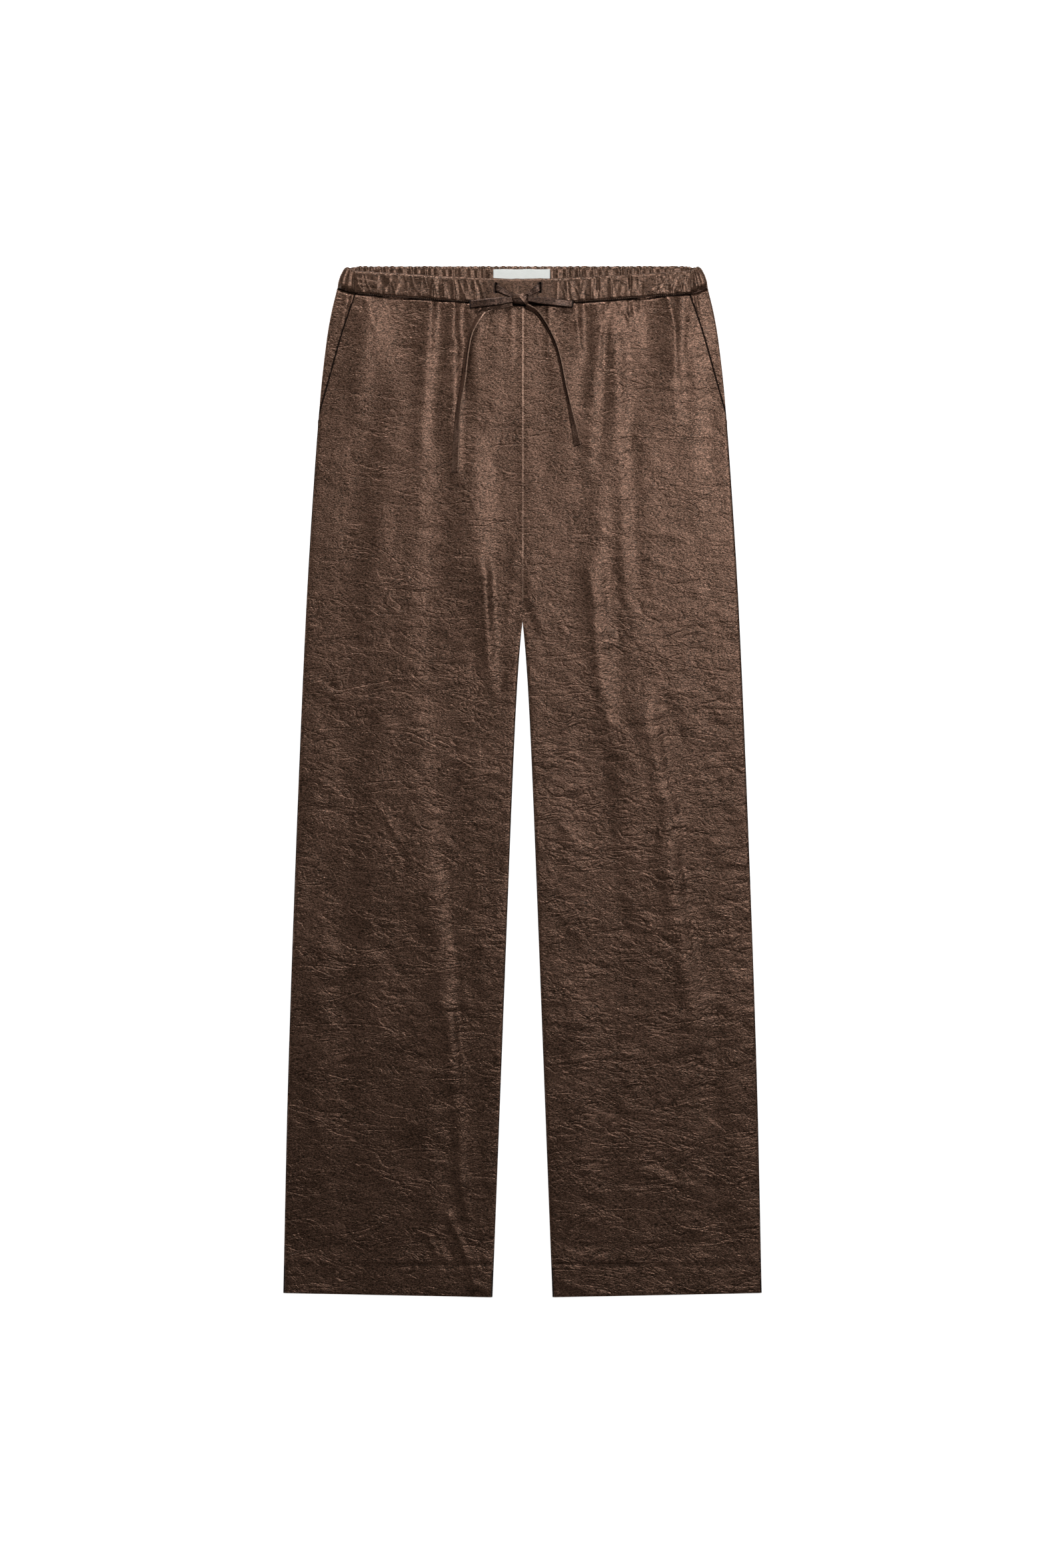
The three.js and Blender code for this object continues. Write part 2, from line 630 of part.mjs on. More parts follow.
function backBand() {
  const turnX = BAND_SIDE_X - BAND_TURN_RADIUS - BAND_THICK / 2;
  const start = FRONT_BAND_HALF + SEAM_GAP / 2;
  const places = [];
  for (let k = 0; k <= 3; k += 1) {
    const x = lerp(start, turnX, k / 3);
    places.push({ x, centre: x, angle: Math.PI / 2, side: k / 3, shoulder: k / 3, turned: 1, isTop: true });
  }
  for (let k = 1; k <= 7; k += 1) {
    const angle = lerp(Math.PI / 2, -Math.PI / 2, k / 8);
    const turned = 1 - k / 8;
    places.push({ x: BAND_SIDE_X, centre: turnX, angle, side: 1, shoulder: 1, turned, isTop: false });
  }
  const across = Math.round(2 * turnX / (BACK_GATHER_PITCH / 3));
  const bottom = [];
  for (let k = 0; k <= across; k += 1) {
    const x = lerp(turnX, -turnX, k / across);
    const side = smoothstep(Math.abs(x), turnX - 24, turnX);
    bottom.push({ x, centre: x, angle: -Math.PI / 2, side, shoulder: side, turned: 0, isTop: false });
  }
  const mirrored = places.map((place) => ({ ...place, x: -place.x, centre: -place.centre })).toReversed();
  return throughRings([...places, ...bottom, ...mirrored].map(backBandRing));
}

function label() {
  const shape = new THREE.Shape();
  shape.moveTo(LABEL.left, LABEL.top - LABEL.height);
  shape.lineTo(LABEL.right, LABEL.top - LABEL.height);
  shape.lineTo(LABEL.right, LABEL.top);
  shape.lineTo(LABEL.left, LABEL.top);
  shape.closePath();
  const geometry = new THREE.ExtrudeGeometry(shape, { depth: LABEL.thick, bevelEnabled: false });
  geometry.translate(0, 0, LABEL.lift);
  return geometry;
}

// The tape's section, eight points round a flat body with soft edges
function tapeRing(middle, widthAxis, thickAxis, width, thick) {
  const a = width / 2;
  const b = thick / 2;
  const soft = 0.7;
  const section = [
    [a, -0.4 * b], [a, 0.4 * b], [a - soft, b], [soft - a, b],
    [-a, 0.4 * b], [-a, -0.4 * b], [soft - a, -b], [a - soft, -b],
  ];
  return section.map(([u, v]) => middle.clone().addScaledVector(widthAxis, u).addScaledVector(thickAxis, v));
}

function tangentAt(points, i) {
  const before = points[Math.max(0, i - 1)];
  const after = points[Math.min(points.length - 1, i + 1)];
  return after.clone().sub(before).normalize();
}

function lead(stops) {
  const points = stops.map(({ x, y, z }) => new THREE.Vector3(x, y, z));
  const rings = stops.map(({ turn, width }, i) => {
    const angle = degToRad(turn);
    const widthAxis = new THREE.Vector3(Math.sin(angle), Math.cos(angle), 0);
    const thickAxis = tangentAt(points, i).cross(widthAxis).normalize();
    return tapeRing(points[i], widthAxis, thickAxis, width, LOOP_THICK);
  });
  return throughRings(rings);
}

// A loop of the bow: out along its lower layer, round the tip and back along the upper one
function bowLoop({ from, to, width }) {
  const start = new THREE.Vector2(...from);
  const run = new THREE.Vector2(...to).sub(start);
  const length = run.length();
  run.normalize();
  const widthAxis = new THREE.Vector3(-run.y, run.x, 0);
  const radius = LOOP_LAYERS_APART / 2;
  const lowAt = (part) => lerp(LOOP_LOW_AT_KNOT, LOOP_LOW_AT_TIP, smoothstep(part, 0.6, 1)) + LOOP_THICK / 2;
  const straight = length - radius - LOOP_THICK / 2;
  const stops = [];
  for (const part of [0, 0.35, 0.7, 0.9]) {
    stops.push([straight * part, lowAt(part)]);
  }
  for (let k = 0; k <= 6; k += 1) {
    const angle = lerp(-Math.PI / 2, Math.PI / 2, k / 6);
    const reach = straight + radius * Math.cos(angle);
    stops.push([reach, lowAt(1) + radius * (1 + Math.sin(angle))]);
  }
  for (const part of [0.9, 0.7, 0.35, 0]) {
    stops.push([straight * part, lowAt(part) + LOOP_LAYERS_APART]);
  }
  const points = stops.map(([reach, z]) => {
    const place = start.clone().addScaledVector(run, reach);
    return new THREE.Vector3(place.x, place.y, z);
  });
  const rings = points.map((point, i) => {
    const thickAxis = tangentAt(points, i).cross(widthAxis).normalize();
    return tapeRing(point, widthAxis, thickAxis, width, LOOP_THICK);
  });
  return throughRings(rings);
}

// Height of what a tape lies on: the front band above the waist seam, the front panel below it
const topAt = (x, y) => (y > waistSeam(x) - 0.5 ? BAND_TOP_Z : frontTop(x, y));

// A free end, resting on the front. It stands more or less on edge, as roll says
function tail(stops) {
  const places = stops.map(({ x, y }) => new THREE.Vector3(x, y, 0));
  const route = new THREE.CatmullRomCurve3(places, false, 'centripetal');
  const steps = Math.round(route.getLength() / 9);
  const rings = [];
  for (let k = 0; k <= steps; k += 1) {
    const part = k / steps;
    const middle = route.getPoint(part);
    const tangent = route.getTangent(part);
    const place = part * (stops.length - 1);
    const index = Math.min(stops.length - 2, Math.floor(place));
    const roll = degToRad(lerp(stops[index].roll, stops[index + 1].roll, place - index));
    const flat = new THREE.Vector3(-tangent.y, tangent.x, 0).normalize();
    const upright = new THREE.Vector3(0, 0, 1);
    const widthAxis = flat.clone().multiplyScalar(Math.cos(roll)).addScaledVector(upright, Math.sin(roll));
    const thickAxis = tangent.clone().cross(widthAxis).normalize();
    const reach = Math.cos(roll) * TAPE.width / 2;
    const under = [-1, 0, 1].map((s) => topAt(middle.x + flat.x * reach * s, middle.y + flat.y * reach * s));
    const halfHeight = Math.sin(roll) * TAPE.width / 2 + Math.cos(roll) * TAPE.thick / 2;
    middle.z = Math.max(...under) + TAPE_CLEARANCE + halfHeight;
    rings.push(tapeRing(middle, widthAxis, thickAxis, TAPE.width, TAPE.thick));
  }
  return throughRings(rings);
}

// The knot: a rounded, slightly waisted lump
function knot() {
  const middle = new THREE.Vector3(
    (KNOT.left + KNOT.right) / 2,
    (KNOT.bottom + KNOT.top) / 2,
    (KNOT.low + KNOT.high) / 2,
  );
  const half = new THREE.Vector3(
    (KNOT.right - KNOT.left) / 2,
    (KNOT.top - KNOT.bottom) / 2,
    (KNOT.high - KNOT.low) / 2,
  );
  const stations = 9;
  const sides = 14;
  const rings = [];
  for (let k = 0; k < stations; k += 1) {
    const along = lerp(-1, 1, k / (stations - 1));
    const full = 0.62 + 0.38 * Math.sqrt(1 - along ** 4) - 0.06 * Math.cos(along * 3 * Math.PI);
    const ring = [];
    for (let i = 0; i < sides; i += 1) {
      const angle = 2 * Math.PI * i / sides;
      const [c, s] = [Math.cos(angle), Math.sin(angle)];
      const boxy = (Math.abs(c) ** 3 + Math.abs(s) ** 3) ** (-1 / 3);
      const y = middle.y + half.y * Math.min(1, full) * boxy * c;
      const z = middle.z + half.z * Math.min(1, full) * boxy * s;
      ring.push(new THREE.Vector3(middle.x + half.x * along, y, z));
    }
    rings.push(ring);
  }
  return throughRings(rings);
}

const group = new THREE.Group();

function add(name, geometry, material) {
  const mesh = new THREE.Mesh(geometry, material);
  mesh.name = name;
  group.add(mesh);
}

for (const [hand, side] of [['left', 1], ['right', -1]]) {
  add(`front_${hand}`, frontPanel(side), BROWN);
  add(`back_${hand}`, backPanel(side), BROWN);
  add(`pocket_facing_${hand}`, pocketFacing(side), BROWN);
}
add('waistband_front', frontBand(), BROWN_BAND);
add('waistband_back', backBand(), BROWN_BAND);
add('label', label(), OFF_WHITE);
for (const { name, stops } of LEADS) {
  add(name, lead(stops), BROWN_TAPE);
}
for (const loop of LOOPS) {
  add(loop.name, bowLoop(loop), BROWN_TAPE);
}
add('bow_knot', knot(), BROWN_TAPE);
for (const { name, stops } of TAILS) {
  add(name, tail(stops), BROWN_TAPE);
}

export default group;
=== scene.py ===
"""Straight trousers laid flat, with a tied drawstring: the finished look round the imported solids.

Shapes are worked out in millimetres from the garment's own sizes, as the solids are, and turned into
metres when each mesh is made. +X is the wearer's left, +Y points to the waist, +Z is up."""

import math

import bpy
import numpy as np
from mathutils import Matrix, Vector


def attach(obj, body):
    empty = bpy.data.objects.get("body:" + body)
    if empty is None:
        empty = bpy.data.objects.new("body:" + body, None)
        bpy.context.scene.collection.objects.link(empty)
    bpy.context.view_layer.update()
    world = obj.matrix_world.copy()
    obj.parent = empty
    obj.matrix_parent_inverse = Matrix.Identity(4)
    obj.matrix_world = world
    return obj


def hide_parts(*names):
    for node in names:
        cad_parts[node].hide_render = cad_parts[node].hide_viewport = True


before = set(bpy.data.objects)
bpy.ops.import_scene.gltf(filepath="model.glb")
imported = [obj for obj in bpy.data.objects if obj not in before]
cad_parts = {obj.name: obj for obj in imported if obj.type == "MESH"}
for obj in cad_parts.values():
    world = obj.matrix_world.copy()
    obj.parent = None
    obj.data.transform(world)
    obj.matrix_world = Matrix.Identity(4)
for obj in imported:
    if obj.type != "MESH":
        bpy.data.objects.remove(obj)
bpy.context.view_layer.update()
MM = 0.001

# Driving sizes, as in the solids
LENGTH = 1060.0
CLOTH = 1.2
SEAM_GAP = 0.3
VISIBLE_GAP = 0.03
BAND_THICK = 3.0
HEM_DEPTH = 33.0
HEM_EXTRA = 1.0
HEM_INNER_Y = -LENGTH / 2
HEM_OUTER_Y = HEM_INNER_Y + 4.4
HEM_INNER_X = 30.8
HEM_OUTER_X = 246.0
HEM_STITCH_Y = HEM_INNER_Y + HEM_DEPTH
CROTCH_Y = 164.0
INSEAM_SLOPE = 0.0385
INSEAM_CURVE, INSEAM_CURVE_REACH = 4.07, 55.0
SIDE_OUTLINE = [
    (HEM_OUTER_Y, HEM_OUTER_X), (-307, 241.1), (-60, 232.6), (166, 223), (289, 215.8),
    (399, 207.6), (454, 201.4), (481, 196.8), (507, 190.6),
]
POCKET_MOUTH = [(373, 209.6), (411, 198.7), (459, 185.2), (503, 170.2)]
POCKET_TUCK = 12.0
FACING_BOTTOM_Y = 360.0
FACING_BLEND_Y = (362, 386)
HIP_RISE_Y = (300, 490)
EDGE_ROLL = 4.0
MOUTH_SHADOW = 1.9
FRONT_EDGE_Z = 2.2
BACK_EDGE_Z = FRONT_EDGE_Z - SEAM_GAP
LEG_TOP_Z = 4.0
WAIST_TOP_Z = 6.1
HEM_LIFT = 1.2
CROTCH_BLEND = 24.0
WAIST_CENTRE_Y = 490.5
WAIST_RISE, WAIST_CURVE = 11.2, 1.3
WAIST_SIDE_LIFT = 3.4
FRONT_BAND_HALF = 173.0
BAND_SIDE_X = 190.6
BAND_TOP_SIDE_X = 182.6
FRONT_BAND_TOP_Y = 516.0
FRONT_BAND_TOP_RISE, FRONT_BAND_TOP_CURVE = 8.5, 1.4
BACK_SEAM_Y = 504.3
BACK_SEAM_LIFT = 2.3
BACK_BAND_TOP_Y = 529.5
BAND_TURN_RADIUS = 2.35
BAND_TOP_Z = 2 * (BAND_TURN_RADIUS + BAND_THICK / 2)
FACING_SINK = CLOTH + 1.5 * SEAM_GAP
WAIST_EDGE_X = 170.5
HEM_DROP = WAIST_CENTRE_Y - HEM_INNER_Y
CROTCH_DROP = WAIST_CENTRE_Y - CROTCH_Y

# Columns: x at the waist seam, height of the gather's ridge, how far down it reaches
LEFT_GATHERS = [
    (12, 0.3, 18), (27, 0.6, 40), (41, 0.4, 22), (56, 0.7, 34), (71, 0.3, 14),
    (84, 0.7, 50), (97, 0.3, 16), (110, 0.7, 60), (130, 0.2, 12), (153, 0.6, 46),
]
RIGHT_GATHERS = [
    (11, 0.3, 30), (26, 0.2, 16), (40, 0.3, 20), (54, 0.4, 18), (68, 0.9, 70),
    (80, 0.4, 20), (93, 0.7, 48), (108, 0.3, 16), (128, 0.2, 14), (152, 0.5, 36),
]

# Columns: x and y of one end, x and y of the other, half width, height (a hollow is negative)
FOLDS = [
    (-169, 500, -126, 420, 16, 0.8), (-122, 500, -118, 452, 24, -0.8), (-93, 500, -102, 410, 9, 0.6),
    (-69, 500, -68, 385, 8, 1.0), (-34, 480, -36, 380, 15, -0.5), (57, 500, 60, 448, 8, 0.6),
    (71, 500, 71, 466, 10, -0.5), (86, 500, 77, 396, 10, 0.8), (109, 480, 106, 396, 12, 0.7),
    (134, 505, 132, 420, 20, -1.0), (150, 505, 157, 426, 9, 0.8), (175, 480, 168, 430, 10, 0.5),
    (-38, 212, -36, 124, 11, 0.8), (67, 220, 82, 84, 14, 0.6), (-64, -124, -54, -360, 18, 0.8),
    (155, -19, 188, -230, 18, 0.7), (-120, 60, -150, -90, 24, -0.5), (110, -260, 150, -400, 22, -0.5),
    (-75, -449, -59, -486, 8, 0.8), (0, 500, 0, 172, 3.5, -0.4),
]

# Smaller creases that only the finished cloth has, in the same columns
CREASES = [
    (0, 500, 0, 172, 3.5, 0.21), (-162, 497, -150, 462, 3.5, 0.35), (-140, 492, -134, 478, 3, -0.3),
    (-128, 495, -126, 484, 2.5, 0.3),
    (-110, 494, -109, 480, 2.5, -0.3), (-92, 494, -95, 446, 4.2, 0.6), (-84, 492, -85, 474, 2.2, -0.3),
    (-69.5, 491, -67, 440, 4.6, 0.75), (-67, 452, -68, 392, 5.4, 0.6), (-72, 400, -78, 352, 6, 0.3),
    (-60, 490, -58, 468, 2.2, -0.4), (-45, 484, -44, 462, 2.6, 0.25), (-11, 484, -12, 430, 3, 0.3),
    (26.8, 487, 26.5, 440, 1.6, 0.4), (40, 486, 42, 470, 2.2, -0.2), (54.5, 492, 57, 470, 3.6, 0.6),
    (56, 472, 60, 444, 3, 0.45), (62, 492, 64, 484, 2, -0.4), (86, 491, 82, 462, 3, 0.5),
    (80, 468, 79, 430, 3.4, 0.4), (97, 493, 97, 484, 2, -0.35), (110, 496, 110.5, 478, 1.8, -0.9),
    (108, 478, 110, 470, 2.4, 0.6), (104, 482, 112, 476, 2, 0.4), (122, 495, 121, 484, 2, -0.3),
    (137, 496, 136, 486, 2, -0.3), (148, 497, 157, 466, 3, 0.6), (157, 466, 157.5, 424, 3.2, 0.45),
    (172, 478, 168, 440, 3, 0.35), (-37, 214, -36, 122, 4, 0.5), (-5, 240, -16, 150, 6, 0.35),
    (6, 220, 18, 140, 7, 0.35), (-2, 176, -30, 120, 5, -0.35), (3, 176, 26, 128, 5, -0.35),
    (68, 218, 80, 90, 4.5, 0.4), (154, -22, 186, -140, 6, 0.5), (188, -150, 192, -256, 6, 0.4),
    (-66, -118, -58, -240, 6, 0.45), (-57, -230, -52, -352, 6, 0.45), (-76, -446, -60, -482, 3, 1.0),
    (-96, -470, -84, -492, 2.5, 0.6), (-88, -462, -80, -490, 2, 0.5),
    (-60, -482, -52, -508, 3, 0.6), (-50, -516, -34, -524, 4, 0.9), (44, -516, 62, -522, 4, 0.7),
    (-88, -468, -70, -490, 3, -0.4), (52, -450, 40, -500, 3.5, 0.5), (-46, -440, -36, -498, 4, 0.5),
    (-150, 330, -120, 322, 4, -0.35), (-178, 300, -140, 306, 4, 0.3), (-110, 262, -70, 256, 3.6, -0.3),
    (70, 300, 112, 308, 4, -0.3), (120, 258, 168, 250, 4, 0.35), (40, 180, 96, 170, 4, -0.3),
    (-170, 140, -120, 152, 4.5, -0.35), (-200, 90, -160, 76, 4, 0.35), (90, 60, 150, 74, 4.5, 0.35),
    (160, 20, 214, 34, 4, -0.3), (-100, 10, -60, 24, 4, 0.3), (-206, -30, -150, -16, 4, -0.35),
    (60, -60, 118, -48, 4, -0.3), (-120, -120, -84, -100, 4.5, 0.35), (-214, -170, -150, -190, 5, 0.35),
    (100, -150, 160, -168, 4.5, -0.35), (40, -210, 88, -190, 4, 0.35),
    (22, 18, 74, 30, 3, 0.5), (36, -12, 98, 4, 2.6, 0.5), (60, 44, 96, 38, 3, 0.4),
    (70, -8, 88, -34, 2.6, 0.4), (40, -46, 58, -62, 2.6, 0.45), (76, -70, 104, -64, 3, 0.4),
    (86, 64, 108, 48, 3, 0.4), (-140, -40, -118, -74, 3, 0.4), (-156, -20, -138, -40, 3, 0.35),
    (-80, -60, -58, -84, 3, 0.35), (-130, -260, -80, -236, 4.5, -0.4),
    (-220, -300, -168, -280, 4.5, 0.35), (150, -280, 224, -262, 5, 0.35), (70, -330, 124, -352, 4.5, -0.4),
    (-118, -350, -66, -372, 4.5, 0.4), (-226, -420, -160, -398, 5, -0.4), (120, -400, 190, -424, 4.5, 0.4),
    (190, -340, 232, -366, 4.5, -0.35), (-150, -452, -98, -438, 4, 0.35), (60, -430, 104, -446, 4, -0.35),
]

# Broad, soft tilts of the cloth, which the satin shows as light and dark bands.
# Columns: x and y of one end, x and y of the other, half width, slope across (down towards +X is positive)
TILTS = [
    (-150, 492, -160, 380, 16, 0.10), (-118, 500, -112, 440, 20, -0.13), (-91, 492, -98, 350, 9, 0.15),
    (-70, 496, -64, 330, 8, 0.20), (-56, 470, -52, 400, 9, -0.12), (-40, 330, -30, 180, 22, 0.09),
    (54, 492, 62, 440, 8, 0.16), (70, 480, 68, 400, 9, -0.08), (84, 496, 74, 330, 9, 0.15),
    (100, 470, 112, 200, 11, 0.16), (92, 360, 84, 190, 14, 0.08), (84, 210, 92, 60, 13, 0.12),
    (138, 500, 134, 410, 20, -0.16), (158, 490, 164, 380, 10, 0.18), (182, 440, 184, 330, 14, 0.08),
    (-36, 222, -27, 110, 9, 0.18), (-92, 330, -104, 140, 18, 0.06), (-150, 340, -168, 160, 22, -0.07),
    (140, 60, 168, -90, 15, 0.19), (160, -90, 190, -260, 17, 0.18), (-96, 60, -88, -130, 24, 0.06),
    (-78, -120, -66, -300, 17, 0.16), (-66, -250, -54, -420, 10, 0.24), (-58, -400, -46, -480, 9, 0.14),
    (-84, -330, -78, -470, 20, 0.08), (-160, 40, -176, -220, 26, -0.07),
    (90, 40, 110, -180, 26, -0.08), (70, -250, 76, -430, 24, 0.05), (200, -280, 214, -440, 18, -0.06),
    (-190, -180, -196, -420, 22, 0.05), (0.5, 500, 0.5, 168, 1.6, 0.11), (30, 440, 34, 330, 18, -0.05),
    (-20, 460, -22, 300, 16, 0.05),
]

# Wide, soft bulges near the waist, in the columns of the folds
BULGES = [
    (-150, 482, -146, 402, 25, 2.0), (-108, 494, -104, 440, 13, -0.7), (111, 486, 104, 372, 22, 1.9),
    (150, 498, 150, 424, 12, -0.7), (176, 462, 178, 400, 18, 1.0), (-60, 440, -50, 330, 16, -0.5),
]

# Folds of the hip facings, in the same columns
FACING_FOLDS = [
    (174, 503, 181, 472, 1.8, 0.9), (181, 500, 186, 470, 2.2, 0.5), (178, 496, 184, 468, 1.4, -0.5),
]

# What the folds of the finished cloth are multiplied by; the tilts' negative turns them to the light
TILT_RISE = -1.8
CREASE_RISE = 1.9
CRINKLE_RISE = 2.3

# Columns: x, lean over the band's height, height
BAND_GATHERS = [
    (-164, -3, 0.5), (-150, 3, 0.4), (-136, -2, 0.3), (-119, 2, 0.3), (-105, 2, 0.4), (-93, 4, 0.9),
    (-84, -2, 0.6), (-70, -2, 0.7), (-59, 1, 0.4), (-48, -2, -0.6), (35, 1, 0.4), (46, -3, 0.6),
    (58, 2, 0.4), (70, 1, 0.8), (77, 1, -0.5), (91, -2, 0.6), (110, 1, -0.7), (124, 2, 0.4),
    (138, -3, 0.5), (153, -6, 0.6), (164, -6, 0.6),
]
BAND_GATHER_HALF = 3.2

# Folds of the front band in the columns of the panels' folds, with heights above the waist seam for y
BAND_FOLDS = [
    (-171, 9, -150, 10, 1.8, 0.9), (-170, 15, -148, 12, 1.6, 0.7), (-165, 4, -146, 2, 1.4, 0.6),
    (-142, 4, -136, 20, 2.2, 0.8), (-131, 3, -127, 14, 1.8, 0.6), (-94, 2, -92.5, 13, 1.8, 1.1),
    (-92.5, 13, -87, 22, 2, 1.0), (-86, 3, -84, 18, 2.5, -0.8), (-80, 2, -81, 14, 1.6, 0.7),
    (-70, 1, -72, 20, 1.6, 0.9), (-64, 4, -66, 20, 2, -0.5), (-58, 3, -55, 20, 2, 0.6),
    (-47, 2, -50, 22, 2.2, 0.8), (52, 2, 49, 20, 2, 0.6), (60, 3, 62, 16, 1.8, 0.5),
    (71, 0, 71.5, 11, 1.8, 1.0), (77.5, 11, 77.5, 25, 1.2, -1.5), (90.5, 0, 91, 13, 1.8, 1.0),
    (110.7, 11, 110.7, 25, 1.2, -1.6), (100, 4, 103, 18, 2.2, 0.5), (134, 4, 148, 18, 1.8, 0.9),
    (140, 2, 152, 12, 1.6, 0.7), (152, 6, 158, 22, 2, 0.9), (160, 3, 168, 20, 2.2, 1.0),
    (122, 6, 126, 20, 2.4, -0.5),
]

# Cross sections of the two bands, up the outer face and down the inner one: share of the height, share out
FRONT_BAND_PROFILE = [
    (0, 0.35), (0.02, 0.75), (0.06, 0.93), (0.12, 1.0), *((h, 1.0) for h in np.linspace(0.2, 0.86, 14)),
    (0.93, 0.92), (0.975, 0.66), (1.0, 0.2), (1.0, -0.3), (0.97, -0.8), (0.9, -1.0), (0.5, -1.0), (0, -1.0),
]
BACK_BAND_PROFILE = [
    (0, 1.0), (0.3, 1.0), (0.6, 1.0), (0.86, 1.0), (0.95, 0.8), (1.0, 0.35), (1.0, -0.35), (0.95, -0.8),
    *((h, -1.0) for h in np.linspace(0.88, 0.2, 12)), (0, -1.0),
]
BACK_GATHER_PITCH = 7.3
BACK_GATHER_HEIGHT = 0.4
RUFFLE = 0.5

LABEL_LEFT, LABEL_RIGHT = -30.0, 28.3
LABEL_TOP, LABEL_HEIGHT = 526.2, 20.0
LABEL_THICK, LABEL_LIFT = 0.5, 3.75
BUTTONHOLES = [(-27.2, 501.0, 512.2), (18.0, 501.0, 512.9)]
BUTTONHOLE_WIDTH = 2.8
BUTTONHOLE_FLOOR_Z = 5.05
TAPE_WIDTH, TAPE_THICK = 7.0, 1.8
LOOP_THICK, LOOP_LAYERS_APART = 1.4, 3.0
KNOT_LOW = np.array([-9.8, 489.4, 8.0])
KNOT_HIGH = np.array([4.6, 500.4, 14.8])
TAPE_CLEARANCE = 0.6
# Width of the centre seam's painted highlight; normal rises below which the tapes get painted shade, and
# above which the tails' rims get a painted highlight
SEAM_LIGHT_WIDTH = 1.1
TAPE_SHADE_LIMIT = 0.5
TAIL_SHADE_LIMIT, TAIL_HIGHLIGHT_RISE = 0.42, 0.55
TAPE_SIDES = 28

# Routes of the drawstring, as in the solids. Leads: x, y, z, turn of the width from +Y, width
LEAD_STOPS = {
    "drawstring_lead_right": [
        (-27.2, 506.6, 5.2, 0, 7), (-27.2, 506.6, 7.3, 0, 7), (-26.4, 506.3, 8.9, 4, 7),
        (-23, 504.8, 9.4, 14, 6.8), (-17, 501.6, 9, 24, 5.6), (-10.2, 498.3, 8.9, 24, 4),
    ],
    "drawstring_lead_left": [
        (18, 507, 5.2, 0, 7), (18, 507, 7.3, 0, 7), (17.2, 506.7, 8.9, -6, 7),
        (14, 504.9, 9.4, -18, 6.6), (9.4, 501.6, 9, -28, 5.2), (5, 498.9, 8.9, -28, 3.8),
    ],
}
LOOP_ENDS = {
    "bow_loop_right": ((-10.3, 493.9), (-54.6, 489.2), 8.0),
    "bow_loop_left": ((5.1, 494.6), (52.0, 489.4), 7.2),
}
LOOP_LOW_AT_KNOT, LOOP_LOW_AT_TIP = 10.3, 8.9
TAIL_STOPS = {
    "drawstring_tail_right": [
        (-10.4, 490.6, 0), (-18, 489.4, 0), (-26, 487.8, 0), (-33, 486, 6), (-39.6, 483, 20),
        (-47, 472, 50), (-53, 458.7, 62), (-56.6, 440.9, 62), (-60.3, 411.1, 58), (-64.8, 387.4, 50),
        (-67.1, 366.6, 38), (-67.8, 348.8, 20), (-69.3, 317.6, 4),
    ],
    "drawstring_tail_left": [
        (3.8, 488, 50), (13.9, 482.4, 58), (21.3, 473.5, 66), (28.8, 460.2, 68), (34.7, 446.8, 68),
        (39.2, 430.4, 68), (43.6, 408.2, 66), (48.1, 387.4, 60), (52.5, 366.6, 42), (56.9, 345.2, 10),
    ],
}

# Turns of the tape over the knot: x, y, z, turn of the width from +Y, width
KNOT_FOLDS = {
    "knot_fold_upper": [
        (5.6, 501.2, 11.4, -30, 3.2), (3, 500.2, 13.6, -34, 3.4), (-0.6, 498.4, 14.9, -28, 3.6),
        (-4.6, 497.2, 15, -20, 3.8), (-8.6, 496.4, 13.8, -12, 3.8), (-11, 495.9, 11.6, -8, 3.4),
    ],
    "knot_fold_lower": [
        (-3.4, 498.2, 14, 52, 3.6), (-1.2, 496.6, 15.2, 48, 4.6), (1.2, 494, 15.3, 46, 5),
        (3.4, 491.4, 14, 44, 4.6), (5, 489, 11.8, 42, 3.6), (6.4, 487, 9.8, 40, 2.4),
    ],
}
KNOT_FOLD_THICK = 1.3

# A stitch: its points in shares of its length, width and height, and its faces
STITCH_POINTS = [
    (-0.5, 0, 0), (-0.25, 0.5, 0), (0.25, 0.5, 0), (0.5, 0, 0), (0.25, -0.5, 0), (-0.25, -0.5, 0),
    (-0.2, 0, 1), (0.2, 0, 1),
]
STITCH_FACES = [
    (6, 1, 0), (6, 7, 2, 1), (7, 3, 2), (7, 4, 3), (6, 5, 4, 7), (6, 0, 5), (0, 1, 2, 3), (0, 3, 4, 5),
]

# In metres and watts: the camera, then each softbox's name, place, target, size and power
CAMERA_PLACE, CAMERA_LENS, SENSOR_WIDTH = (0, -0.0027, 4.479), 100, 36
SOFTBOXES = [
    ("softbox_top", (-0.2, 1.3, 0.75), (0, 0.1, 0), 0.35, 7.0),
    ("softbox_over", (0.6, 0.6, 1.5), (0, 0.3, 0), 0.24, 8.8),
    ("softbox_legs", (0.62, -0.35, 1.15), (0, -0.3, 0), 0.2, 0.1),
    ("softbox_side", (-1.2, 0.3, 0.8), (0, 0.2, 0), 0.4, 0.8),
]
FLOOR_HALF, FLOOR_Z = 12.0, -0.0002


# Plain numbers

def smoothstep(value, low, high):
    t = np.clip((value - low) / (high - low), 0.0, 1.0)
    return t * t * (3 - 2 * t)


def mix(a, b, t):
    return a + (b - a) * t


def bump(offset):
    return np.where(np.abs(offset) < 1, np.cos(np.clip(offset, -1, 1) * math.pi / 2) ** 2, 0.0)


